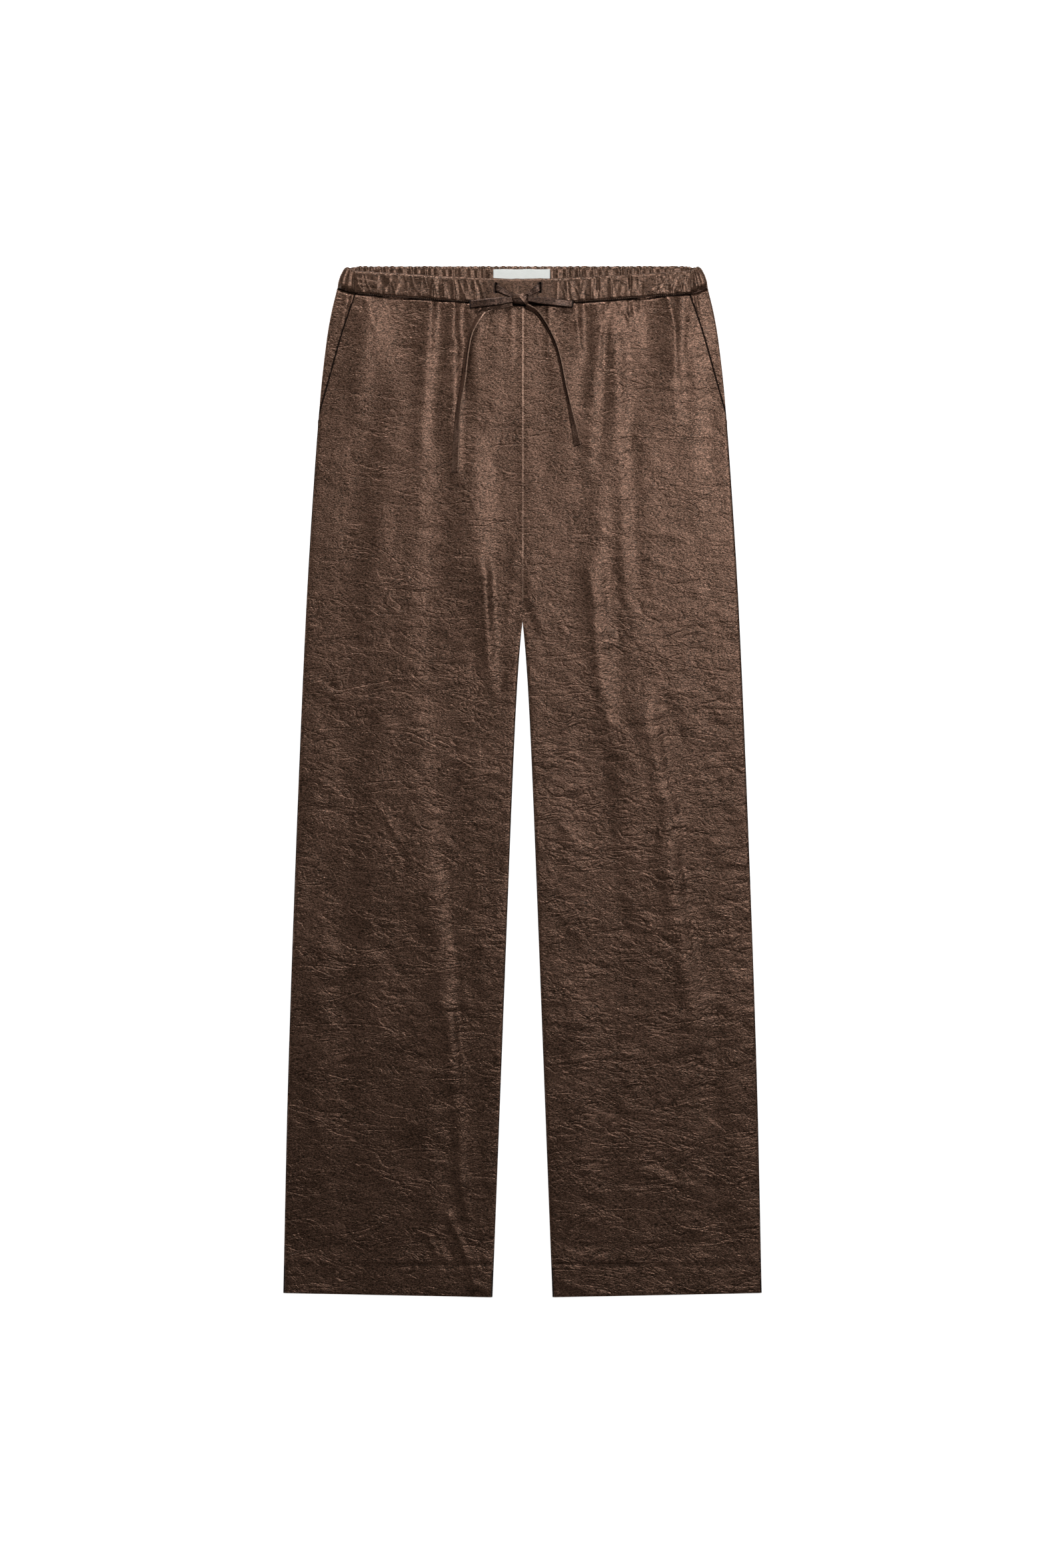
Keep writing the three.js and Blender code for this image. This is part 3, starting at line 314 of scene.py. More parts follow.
def curve_at(rows, y):
    """A smooth curve through rows of (y, x)."""
    at = np.array([row[0] for row in rows], float)
    value = np.array([row[1] for row in rows], float)
    before = np.maximum(np.arange(len(at)) - 1, 0)
    after = np.minimum(np.arange(len(at)) + 1, len(at) - 1)
    slope = (value[after] - value[before]) / (at[after] - at[before])
    y = np.asarray(y, float)
    i = np.clip(np.searchsorted(at, y, side="right") - 1, 0, len(at) - 2)
    step = at[i + 1] - at[i]
    t = (y - at[i]) / step
    inside = np.clip(t, 0, 1)
    chord = (value[i + 1] - value[i]) / step
    bend = inside * (1 - inside) * step
    result = mix(value[i], value[i + 1], inside)
    result += bend * ((1 - inside) * (slope[i] - chord) + inside * (chord - slope[i + 1]))
    result += np.where(t < 0, (y - at[0]) * slope[0], 0.0)
    return result + np.where(t > 1, (y - at[-1]) * slope[-1], 0.0)


def lattice(ix, iy, seed):
    h = (ix.astype(np.int64) * 374761393 + iy.astype(np.int64) * 668265263 + seed * 97471171) & 0xFFFFFFFF
    h = ((h ^ (h >> 13)) * 1274126177) & 0xFFFFFFFF
    h = h ^ (h >> 16)
    return h / 2147483648.0 - 1.0


def noise(x, y, seed):
    """Smooth value noise between -1 and 1, one feature to each unit."""
    ix, iy = np.floor(x), np.floor(y)
    fx, fy = x - ix, y - iy
    sx, sy = fx * fx * (3 - 2 * fx), fy * fy * (3 - 2 * fy)
    low = mix(lattice(ix, iy, seed), lattice(ix + 1, iy, seed), sx)
    high = mix(lattice(ix, iy + 1, seed), lattice(ix + 1, iy + 1, seed), sx)
    return mix(low, high, sy)


# The garment's own lines and heights

def outline(y):
    return curve_at(SIDE_OUTLINE, y)


def front_outline(y):
    return outline(y) + FACING_SINK * smoothstep(y, *FACING_BLEND_Y)


def panel_edge(y):
    return np.minimum(front_outline(y), curve_at(POCKET_MOUTH, y))


def inner_edge(y):
    below = np.maximum(0.0, CROTCH_Y - y)
    return INSEAM_SLOPE * below + INSEAM_CURVE * (1 - np.exp(-below / INSEAM_CURVE_REACH))


def waist_seam(x):
    x = np.abs(x)
    lift = WAIST_SIDE_LIFT * smoothstep(x, FRONT_BAND_HALF, BAND_SIDE_X)
    return WAIST_CENTRE_Y + WAIST_RISE * (x / FRONT_BAND_HALF) ** WAIST_CURVE + lift


def back_seam(x):
    return BACK_SEAM_Y + BACK_SEAM_LIFT * smoothstep(np.abs(x), 150, BAND_SIDE_X)


def hem_line(x):
    across = (np.abs(x) - HEM_INNER_X) / (HEM_OUTER_X - HEM_INNER_X)
    return mix(HEM_INNER_Y, HEM_OUTER_Y, across)


def fold_height(x, y, folds):
    height = np.zeros_like(x)
    for x1, y1, x2, y2, width, rise in folds:
        run = np.array([x2 - x1, y2 - y1], float)
        length = run @ run
        along = np.clip(((x - x1) * run[0] + (y - y1) * run[1]) / length, 0, 1)
        away = (x - x1 - along * run[0]) ** 2 + (y - y1 - along * run[1]) ** 2
        height += rise * np.exp(-away / width ** 2) * (1 - 0.4 * along)
    return height


def tilt_height(x, y):
    """Long facets that lean a little to one side."""
    height = np.zeros_like(x)
    for x1, y1, x2, y2, width, slope in TILTS:
        run = np.array([x2 - x1, y2 - y1], float)
        length = np.sqrt(run @ run)
        along = ((x - x1) * run[0] + (y - y1) * run[1]) / length ** 2
        beyond = np.maximum(0, np.maximum(-along, along - 1)) * length
        across = ((y - y1) * run[0] - (x - x1) * run[1]) / length
        fade = np.exp(-(beyond / (1.6 * width)) ** 2) * (1 - 0.35 * np.clip(along, 0, 1))
        height += slope * across * np.exp(-(across / width) ** 2) * fade
    return height


def gather_height(x, y, side):
    """Ridges that run down from the waist seam and fade."""
    table = LEFT_GATHERS if side > 0 else RIGHT_GATHERS
    at_seam = np.abs(x) * panel_edge(WAIST_CENTRE_Y + WAIST_RISE) / panel_edge(y)
    drop = np.maximum(0.0, waist_seam(x) - y)
    height = np.zeros_like(x)
    for k, (place, rise, reach) in enumerate(table):
        before = table[k - 1][0] if k > 0 else 0
        after = table[k + 1][0] if k < len(table) - 1 else WAIST_EDGE_X
        half = np.where(at_seam < place, place - before, after - place) / 2
        height += rise * bump((at_seam - place) / half) * np.exp(-drop / reach)
    return height


def crinkles(x, y, seed):
    """Fine, uneven relief of the finished satin: short lengthwise crinkles and soft waves."""
    warp = 6 * noise(x / 40, y / 40, seed + 1)
    lines = 1 - np.abs(noise(x / 26 + 0.2 * warp, (y + warp) / 6.5, seed + 2)) * 5
    patch = smoothstep(noise(x / 45, y / 30, seed + 3), -0.15, 0.5)
    fine = 1 - np.abs(noise(x / 15, (y + 0.6 * warp) / 3.8, seed + 4)) * 4
    relief = -0.2 * np.maximum(0, lines) * patch - 0.08 * np.maximum(0, fine) * (1 - 0.5 * patch)
    relief += 0.16 * noise(x / 12, y / 7, seed + 5)
    relief += 0.3 * noise(x / 48 + 9, y / 85, seed + 6)
    lower = smoothstep(-y, -60, 320)
    relief += 0.3 * lower * noise((x + y) / 60, (y - x) / 22, seed + 7)
    return relief


def seam_puckers(x, y, side):
    """Relief along the sewn lines: puckers at the hem's stitches and the waist, grooves, the hem's lip."""
    near_hem = 0.35 + 0.65 * smoothstep(-np.abs(np.abs(x) - 70), -60, -10)
    hem = 0.9 * near_hem * np.exp(-((y - HEM_STITCH_Y) / 9) ** 2) * noise((x + 0.4 * y) / 5, y / 22, 31)
    hem -= 0.9 * np.exp(-((y - HEM_STITCH_Y) / 1.5) ** 2)
    drop = waist_seam(x) - y
    waist = 0.35 * np.exp(-drop / 9) * noise(x / 4.2, drop / 26, 37)
    groove = -2.8 * np.exp(-(drop / 1.8) ** 2)
    mouth = curve_at(POCKET_MOUTH, y) - np.abs(x)
    slant = 0.16 * np.exp(-((mouth - 4) / 4) ** 2) * noise(y / 9, x / 30, 41 + side) * (y > 380)
    to_hem = y - hem_line(x)
    lip = -0.7 * np.exp(-np.maximum(to_hem, 0) / 0.9)
    return hem + waist + groove + slant + lip


def front_top(x, y, side, fine=True):
    """Height of the front's upper face, with the small relief or, as in the solids, without it."""
    rise = (WAIST_TOP_Z - LEG_TOP_Z) * smoothstep(y, *HIP_RISE_Y)
    hem_lift = HEM_LIFT * (1 - smoothstep(y, HEM_STITCH_Y, HEM_STITCH_Y + 20))
    if fine:
        hem_lift = hem_lift + 0.035 * np.maximum(0, HEM_STITCH_Y - y)
    height = LEG_TOP_Z + rise + hem_lift + fold_height(x, y, FOLDS) + gather_height(x, y, side)
    if not fine:
        return height - 0.35 * bump((y - HEM_STITCH_Y) / 5)
    # The crinkles are strongest about the knees
    crinkled = CRINKLE_RISE * (0.65 + 0.5 * smoothstep(-y, -330, 20) - 0.42 * smoothstep(-y, 180, 400))
    height += TILT_RISE * tilt_height(x, y) + fold_height(x, y, BULGES)
    height += CREASE_RISE * fold_height(x, y, CREASES) + crinkled * crinkles(x, y, 3)
    height += seam_puckers(x, y, side)
    return np.maximum(height, CLOTH * 2 + 0.5)


def wall_at(y):
    return CLOTH + HEM_EXTRA * (1 - smoothstep(y, HEM_STITCH_Y, HEM_STITCH_Y + 6))


def rolled(x, y, edge, sink):
    """Where a layer's point goes at the two rolled edges, and how high it stands there, from 0 to 1."""
    gap = inner_edge(y)
    blend = 1 - smoothstep(y, CROTCH_Y - CROTCH_BLEND, CROTCH_Y)
    outer_c = np.clip(1 - (edge - x) / EDGE_ROLL, 0, 1)
    inner_c = np.clip(1 - (x - gap) / EDGE_ROLL, 0, 1)
    across = np.where(outer_c > 0, edge - sink - (EDGE_ROLL - sink) * (1 - outer_c), x)
    tucked = gap + sink + (EDGE_ROLL - sink) * (1 - inner_c)
    across = np.where(inner_c > 0, mix(x, tucked, blend), across)
    full = np.sqrt(1 - outer_c ** 2) * mix(1.0, np.sqrt(1 - inner_c ** 2), blend)
    return across, full


# Mesh makers

def placed(name, data):
    thing = bpy.data.objects.new(name, data)
    bpy.context.scene.collection.objects.link(thing)
    return thing


def make_mesh(name, points, quads, material, caps=()):
    """A mesh from points in millimetres, quads of point numbers and, for caps, other polygons."""
    mesh = bpy.data.meshes.new(name)
    points = np.asarray(points, np.float32).reshape(-1, 3) * MM
    quads = np.asarray(quads, np.int32).reshape(-1, 4)
    loops = np.concatenate([quads.ravel()] + [np.asarray(cap, np.int32) for cap in caps])
    totals = np.concatenate([np.full(len(quads), 4), [len(cap) for cap in caps]]).astype(np.int32)
    starts = np.concatenate([[0], np.cumsum(totals)[:-1]]).astype(np.int32)
    mesh.vertices.add(len(points))
    mesh.vertices.foreach_set("co", points.ravel())
    mesh.loops.add(len(loops))
    mesh.loops.foreach_set("vertex_index", loops)
    mesh.polygons.add(len(totals))
    mesh.polygons.foreach_set("loop_start", starts)
    mesh.polygons.foreach_set("loop_total", totals)
    mesh.polygons.foreach_set("use_smooth", np.ones(len(totals), bool))
    mesh.update(calc_edges=True)
    mesh.validate()
    mesh.materials.append(material)
    return placed(name, mesh)


def outward(points, quads, caps=()):
    """The same faces, turned over if they enclose a negative volume."""
    p = np.asarray(points, float).reshape(-1, 3)
    a, b, c, d = (p[quads[:, k]] for k in range(4))
    volume = np.sum(a * np.cross(b, c)) + np.sum(a * np.cross(c, d))
    for cap in caps:
        for k in range(1, len(cap) - 1):
            volume += p[cap[0]] @ np.cross(p[cap[k]], p[cap[k + 1]])
    if volume > 0:
        return quads, caps
    return quads[:, ::-1], [cap[::-1] for cap in caps]


def shell(name, outer, inner, material):
    """A closed wall between two grids of points."""
    rows, columns, _ = outer.shape
    number = np.arange(rows * columns).reshape(rows, columns)
    top = np.stack([number[:-1, :-1], number[:-1, 1:], number[1:, 1:], number[1:, :-1]], -1).reshape(-1, 4)
    under = top[:, ::-1] + rows * columns
    rim = np.concatenate([number[0, :], number[1:, -1], number[-1, -2::-1], number[-2:0:-1, 0]])
    following = np.roll(rim, -1)
    side = np.stack([following, rim, rim + rows * columns, following + rows * columns], -1)
    points = np.concatenate([outer.reshape(-1, 3), inner.reshape(-1, 3)])
    quads, _ = outward(points, np.concatenate([top, under, side]))
    return make_mesh(name, points, quads, material)


def through_rings(name, rings, material):
    """A body through closed rings of points, an array of rings by points by three."""
    count, sides, _ = rings.shape
    number = np.arange(count * sides).reshape(count, sides)
    ahead = np.roll(number, -1, axis=1)
    quads = np.stack([number[:-1], ahead[:-1], ahead[1:], number[1:]], -1).reshape(-1, 4)
    quads, caps = outward(rings, quads, [number[0][::-1], number[-1]])
    return make_mesh(name, rings, quads, material, caps)


def repaint(piece, material, choose):
    """Gives a material to the faces that choose picks by upward normal, centre and material number."""
    polygons = piece.data.polygons
    normals = np.zeros(len(polygons) * 3, np.float32)
    centres = np.zeros(len(polygons) * 3, np.float32)
    numbers = np.zeros(len(polygons), np.int32)
    polygons.foreach_get("normal", normals)
    polygons.foreach_get("center", centres)
    polygons.foreach_get("material_index", numbers)
    piece.data.materials.append(material)
    chosen = choose(normals.reshape(-1, 3)[:, 2], centres.reshape(-1, 3).T / MM, numbers)
    numbers[chosen] = len(piece.data.materials) - 1
    polygons.foreach_set("material_index", numbers)


def shade_edges(piece, limit=0.78):
    """Paints shade on the turned-in edges of a piece: its faces that tilt far from up get the dark satin."""
    repaint(piece, SATIN_PAINTED_SHADE, lambda rise, centre, number: (np.abs(rise) < limit) & (number == 0))


def paint_rims(piece, material, low, high):
    """Gives a material to the faces of a tape's two rims whose normal rises between low and high: painted
    shade in shade_tape, a painted highlight on the tails.
    """
    def on_rim(rise, centre, number):
        turn = 2 * math.pi * (np.arange(len(rise)) % TAPE_SIDES + 0.5) / TAPE_SIDES
        not_shadow_painted = number != piece.data.materials.find(PAINTED_SHADOW.name)
        return not_shadow_painted & (np.abs(np.cos(turn)) > 0.66) & (rise > low) & (rise < high)

    repaint(piece, material, on_rim)


def light_seam(piece):
    """Paints the narrow strip along the centre seam lighter: a painted highlight for the light that its fold
    catches.
    """
    def on_seam(rise, centre, number):
        x, y, z = centre
        return (np.abs(x) < SEAM_LIGHT_WIDTH) & (y > CROTCH_Y + 6) & (z > LEG_TOP_Z - 1) & (number == 0)

    repaint(piece, SATIN_PAINTED_HIGHLIGHT, on_seam)


def shade_tape(piece):
    """Paints shade on a tape's stitched rims and on whatever of it stands upright."""
    shade_edges(piece, TAPE_SHADE_LIMIT)
    paint_rims(piece, SATIN_PAINTED_SHADE, -0.85, 0.85)


def finish(piece, slot, *nodes):
    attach(piece, "root")
    if nodes:
        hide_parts(*nodes)
    return piece


# Materials

def to_linear(srgb):
    return tuple(((c / 255 + 0.055) / 1.055) ** 2.4 if c > 10 else c / 3294.6 for c in srgb) + (1.0,)


class Nodes:
    """Short names for making the nodes of one material."""

    def __init__(self, name):
        self.material = bpy.data.materials.new(name)
        self.material.use_nodes = True
        self.tree = self.material.node_tree
        self.shader = self.tree.nodes["Principled BSDF"]
        coordinate = self.tree.nodes.new("ShaderNodeTexCoord")
        self.place = coordinate.outputs["Object"]

    def link(self, output, target):
        self.tree.links.new(output, target)

    def drive(self, socket, output):
        self.link(output, self.shader.inputs[socket])

    def set(self, **values):
        """Constants on the shader's own sockets, whose names have spaces for underscores."""
        for socket, value in values.items():
            self.shader.inputs[socket.replace("_", " ")].default_value = value

    def stretched(self, scale):
        node = self.tree.nodes.new("ShaderNodeMapping")
        node.inputs["Scale"].default_value = scale
        self.link(self.place, node.inputs["Vector"])
        return node.outputs["Vector"]

    def noise(self, size_mm, detail=2.0, roughness=0.5, stretch=(1, 1, 1), distortion=0.0):
        node = self.tree.nodes.new("ShaderNodeTexNoise")
        node.inputs["Scale"].default_value = 1000 / size_mm
        node.inputs["Detail"].default_value = detail
        node.inputs["Roughness"].default_value = roughness
        node.inputs["Distortion"].default_value = distortion
        self.link(self.stretched(stretch), node.inputs["Vector"])
        return node.outputs["Fac"]

    def ramp(self, factor, stops):
        node = self.tree.nodes.new("ShaderNodeValToRGB")
        elements = node.color_ramp.elements
        while len(elements) < len(stops):
            elements.new(0.5)
        for element, (position, colour) in zip(elements, stops):
            element.position = position
            element.color = colour
        self.link(factor, node.inputs["Fac"])
        return node.outputs["Color"]

    def math(self, kind, a, b):
        node = self.tree.nodes.new("ShaderNodeMath")
        node.operation = kind
        for socket, value in zip(node.inputs, (a, b)):
            if isinstance(value, (int, float)):
                socket.default_value = value
            else:
                self.link(value, socket)
        return node.outputs["Value"]

    def total(self, *parts):
        """The sum of some values, each times its share."""
        terms = [self.math("MULTIPLY", value, share) for value, share in parts]
        result = terms[0]
        for term in terms[1:]:
            result = self.math("ADD", result, term)
        return result

    def towards_hem(self, low):
        """Grows from low at the hips to 1 in the lower legs, where the cloth is more crinkled."""
        split = self.tree.nodes.new("ShaderNodeSeparateXYZ")
        self.link(self.place, split.inputs["Vector"])
        reach = self.tree.nodes.new("ShaderNodeMapRange")
        reach.interpolation_type = "SMOOTHSTEP"
        for socket, value in (("From Min", 0.35), ("From Max", 0.0), ("To Min", low), ("To Max", 1.0)):
            reach.inputs[socket].default_value = value
        self.link(split.outputs["Y"], reach.inputs["Value"])
        return reach.outputs["Result"]

    def ridge(self, factor, width):
        """Thin lines where the noise crosses its middle: 1 on a line, 0 away from it."""
        away = self.math("ABSOLUTE", self.math("SUBTRACT", factor, 0.5), 0.0)
        line = self.math("SUBTRACT", 1.0, self.math("DIVIDE", away, width))
        return self.math("MAXIMUM", line, 0.0)

    def bump(self, height, depth_mm, normal=None):
        node = self.tree.nodes.new("ShaderNodeBump")
        node.inputs["Strength"].default_value = 1.0
        node.inputs["Distance"].default_value = depth_mm * MM
        self.link(height, node.inputs["Height"])
        if normal is not None:
            self.link(normal, node.inputs["Normal"])
        return node.outputs["Normal"]


def satin(name, dark, mid, light, grain_mm=1.4, depth=0.28, rough=0.33, sheen=0.05, gloss=0.6):
    """Brown satin with a hammered grain: short bright flecks on a darker ground."""
    n = Nodes(name)
    weft = (0.75, 1.15, 1)
    hairs = n.ridge(n.noise(grain_mm * 1.5, detail=2.0, roughness=0.6, stretch=weft, distortion=0.9), 0.13)
    grain = n.noise(grain_mm, detail=2.0, roughness=0.55, stretch=weft)
    wrinkles = n.ridge(n.noise(17, detail=3.0, roughness=0.5, stretch=(0.6, 1.15, 1), distortion=1.2), 0.08)
    creases = n.ridge(n.noise(46, detail=2.0, roughness=0.55, stretch=(0.55, 1.3, 1), distortion=0.8), 0.035)
    waves = n.noise(11, detail=2.0, roughness=0.5, stretch=(0.7, 1.1, 1), distortion=0.9)
    cloud = n.noise(42, detail=3.0, roughness=0.55)
    spots = n.noise(34, detail=1.0, stretch=(0.8, 1.2, 1))
    patches = n.ramp(spots, [(0.42, (0, 0, 0, 1)), (0.62, (1, 1, 1, 1))])
    patches = n.math("ADD", 0.4, n.math("MULTIPLY", patches, 0.6))
    relief = n.math("MULTIPLY", n.towards_hem(low=0.6), patches)
    tone = n.total((hairs, 0.17), (grain, 0.62), (cloud, 0.1))
    stops = [(0.28, to_linear(dark)), (0.4, to_linear(mid)), (0.54, to_linear(light))]
    n.drive("Base Color", n.ramp(tone, stops))
    n.drive("Roughness", n.math("ADD", n.math("MULTIPLY", cloud, 0.12), rough - 0.06))
    first = n.bump(n.math("MULTIPLY", waves, relief), depth * 3.4)
    grooves = n.math("MULTIPLY", n.math("ADD", wrinkles, creases), relief)
    second = n.bump(n.math("SUBTRACT", 1.0, grooves), depth * 1.3, first)
    third = n.bump(hairs, depth * 0.2, second)
    n.drive("Normal", n.bump(grain, depth * 1.1, third))
    n.set(Metallic=gloss, Specular_IOR_Level=0.83 * gloss)
    n.set(Sheen_Weight=sheen, Sheen_Roughness=0.45, Sheen_Tint=(0.7, 0.5, 0.4, 1))
    return n.material


def woven_label():
    n = Nodes("label_weave")
    cross = n.noise(0.9, detail=1.0, stretch=(0.5, 2.2, 1))
    soft = n.noise(14, detail=2.0)
    tone = n.total((cross, 0.5), (soft, 0.5))
    white = [(0.3, to_linear((240, 244, 239))), (0.7, to_linear((253, 254, 251)))]
    n.drive("Base Color", n.ramp(tone, white))
    n.drive("Normal", n.bump(cross, 0.12))
    n.set(Roughness=0.75)
    return n.material


def thread(name, colour):
    n = Nodes(name)
    twist = n.noise(0.6, detail=1.0, stretch=(1, 3, 1))
    dark = tuple(c * 0.75 for c in colour)
    n.drive("Base Color", n.ramp(twist, [(0.3, to_linear(dark)), (0.7, to_linear(colour))]))
    n.drive("Normal", n.bump(twist, 0.1))
    n.set(Roughness=0.5, Sheen_Weight=0.2)
    return n.material


# Near-black cloth, a painted shadow: in the buttonhole slots, on the bow loops' turned tips and in the
# cords' hollow ends
def painted_shadow_cloth():
    n = Nodes("near_black_painted_shadow")
    tone = n.noise(3, detail=2.0)
    n.drive("Base Color", n.ramp(tone, [(0.3, to_linear((16, 9, 6))), (0.7, to_linear((34, 22, 16)))]))
    n.set(Roughness=0.9)
    return n.material


SATIN = satin("brown_satin", (56, 41, 30), (87, 63, 48), (138, 104, 86))
# A dark, dull copy of the satin: painted shade on steep edges, the waist groove, the pocket mouth and the
# tapes
SATIN_PAINTED_SHADE = satin(
    "brown_satin_painted_shade", (18, 11, 8), (27, 17, 12), (40, 27, 20), gloss=0.1, rough=0.7, sheen=0.0,
)
SATIN_BACK = satin("brown_satin_back", (54, 36, 28), (80, 56, 44), (122, 92, 76))
SATIN_BAND = satin("brown_satin_band", (52, 38, 28), (81, 59, 45), (118, 88, 71), depth=0.17)
SATIN_TAPE = satin("brown_satin_tape", (60, 43, 33), (96, 71, 57), (136, 105, 88), grain_mm=1.2, depth=0.13)
# A lighter copy of the satin: a painted highlight on the centre seam's strip and on the tails' upper rims
SATIN_PAINTED_HIGHLIGHT = satin("brown_satin_painted_highlight", (82, 60, 47), (128, 98, 81), (168, 136, 116), grain_mm=1.2, depth=0.08)
# A darker copy of the tape's satin: painted shade on the bow's leads, loops and knot
SATIN_BOW_PAINTED_SHADE = satin("brown_satin_bow_painted_shade", (37, 26, 19), (62, 44, 35), (102, 76, 63), grain_mm=1.2, depth=0.15)
LABEL_CLOTH = woven_label()
THREAD = thread("brown_thread", (186, 152, 132))
THREAD_DARK = thread("dark_thread", (66, 46, 36))
PAINTED_SHADOW = painted_shadow_cloth()


# Panels

def columns_between(inner, outer, count):
    """Places across a panel: by angle in the rolled edges, even between them."""
    angle = np.linspace(0, math.pi / 2, 6)
    roll = EDGE_ROLL * (1 - np.cos(angle))
    part = np.linspace(0, 1, count)[1:-1]
    inner, outer = inner[:, None], outer[:, None]
    middle = mix(inner + EDGE_ROLL, outer - EDGE_ROLL, part)
    return np.concatenate([inner + roll, middle, outer - roll[::-1]], axis=1)


def row_drops(count, fine_to=130.0, fine_share=0.24):
    """Distances below the waist seam: close at the top, and one at the crotch and the hem's stitches."""
    near = int(count * fine_share)
    drops = np.concatenate([
        [0, 0.7, 1.5, 2.5, 3.8],
        np.linspace(5.5, fine_to, near),
        np.linspace(fine_to, HEM_DROP - 4, count - near)[1:],
        [HEM_DROP - 2.6, HEM_DROP - 1.5, HEM_DROP - 0.7, HEM_DROP],
    ])
    extra = [HEM_DROP - HEM_DEPTH + d for d in (-1.6, 0, 1.6)]
    drops = drops[np.min(np.abs(drops[:, None] - np.array(extra + [CROTCH_DROP])), axis=1) > 0.9]
    return np.sort(np.concatenate([drops, extra, [CROTCH_DROP]]))


def panel_grid(drops, count, top_line, edge_at):
    """Points of a panel, in rows that run from the shape of its top line to that of the hem."""
    part = (drops / HEM_DROP)[:, None]

    def level(x, part=part):
        return mix(top_line(x) - VISIBLE_GAP, hem_line(x), part)

    start, side = (level(x, part[:, 0]) for x in (0.0, BAND_SIDE_X))
    x = columns_between(inner_edge(start), edge_at(side), count)
    for _ in range(2):
        y = level(x).T
        columns = [columns_between(inner_edge(at), edge_at(at), count)[:, k] for k, at in enumerate(y)]
        x = np.stack(columns, axis=1)
    return x, level(x)


def front_layer(side, x, y, sink_across, sink_down):
    across, full = rolled(x, y, front_outline(y), sink_across)
    top = front_top(side * x, y, side)
    z = FRONT_EDGE_Z + (top - sink_down - FRONT_EDGE_Z) * full
    return np.stack([side * across, y, z], axis=-1)


def front_panel(hand, side):
    rows, columns = ((345, 122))
    x, y = panel_grid(row_drops(rows), columns, waist_seam, panel_edge)
    outer = front_layer(side, x, y, 0.0, 0.0)
    inner = front_layer(side, x, y, CLOTH, wall_at(y))
    piece = shell(f"front_panel_{hand}", outer, inner, SATIN)
    shade_edges(piece)
    if side > 0:
        light_seam(piece)
    finish(piece, "cloth", f"front_{hand}")


def back_panel(hand, side):
    rows, columns = ((230, 62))
    x, y = panel_grid(row_drops(rows, 60.0, 0.06), columns, back_seam, outline)
    soft = fold_height(-side * x, y, CREASES) + crinkles(side * x, y, 61)
    soft = 0.55 * np.clip(soft + 0.1, 0, 0.7)
    layers = []
    for sink, flat in ((0.0, 0.0), (CLOTH, wall_at(y))):
        across, full = rolled(x, y, outline(y), sink)
        z = mix(BACK_EDGE_Z, flat, full) + soft * full ** 2
        layers.append(np.stack([side * across, y, z], axis=-1))
    piece = shell(f"back_panel_{hand}", layers[0], layers[1], SATIN_BACK)
    shade_edges(piece)
    finish(piece, "cloth", f"back_{hand}")


def pocket_facing(hand, side):
    rows, columns = ((120, 44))
    part = np.linspace(0, 1, rows)[:, None]
    place = np.linspace(0, 1, columns)[None, :] ** 0.72
    guess = mix(WAIST_EDGE_X - POCKET_TUCK, BAND_SIDE_X, place)
    y = mix(waist_seam(guess) - VISIBLE_GAP, FACING_BOTTOM_Y, part)
    x = mix(panel_edge(y) - POCKET_TUCK, front_outline(y), place)
    folded = fold_height(x, y, FACING_FOLDS)
    layers = []
    for sink in (FACING_SINK, FACING_SINK + CLOTH):
        layer = front_layer(side, x, y, sink, sink)
        past_mouth = np.abs(layer[..., 0]) - panel_edge(y)
        layer[..., 2] += np.where(past_mouth < 0.4, 0.0, folded) * smoothstep(past_mouth, 0, 1.5)
        layers.append(layer)
    piece = shell(f"hip_facing_{hand}", layers[0], layers[1], SATIN)
    # Painted shade on the facing just beyond the pocket mouth, where the panel's edge shades it
    repaint(piece, SATIN_PAINTED_SHADE, lambda rise, at, number: np.abs(at[0]) < panel_edge(at[1]) + MOUTH_SHADOW)
    finish(piece, "cloth", f"pocket_facing_{hand}")


# Waistband

def front_band_top(x):
    return FRONT_BAND_TOP_Y + FRONT_BAND_TOP_RISE * (np.abs(x) / FRONT_BAND_HALF) ** FRONT_BAND_TOP_CURVE


def band_relief(x, height):
    rise = np.zeros_like(x + height)
    for place, lean, lift in BAND_GATHERS:
        centre = place + lean * 0.5 * height
        wide = (x - centre) / BAND_GATHER_HALF
        narrow = (x - centre - 0.4) / 1.3
        rise = rise + lift * (0.35 * bump(wide) + 0.5 * bump(narrow)) * (1 - 0.4 * height)
    sides = smoothstep(np.abs(x), 30, 46)
    folded = 1 - 3 * np.abs(noise(x / 7 + 0.9 * height, height * 1.1 + x / 60, 71))
    rise += 0.45 * sides * np.maximum(0, folded) * (1 - 0.3 * height)
    rise += 0.6 * noise(x / 11, height * 2.0, 72) * (0.3 + 0.7 * sides)
    rise += 0.12 * noise(x / 3, height * 3.5, 73) * sides
    rise += fold_height(x + 0 * height, 25 * height + 0 * x, BAND_FOLDS)
    return rise


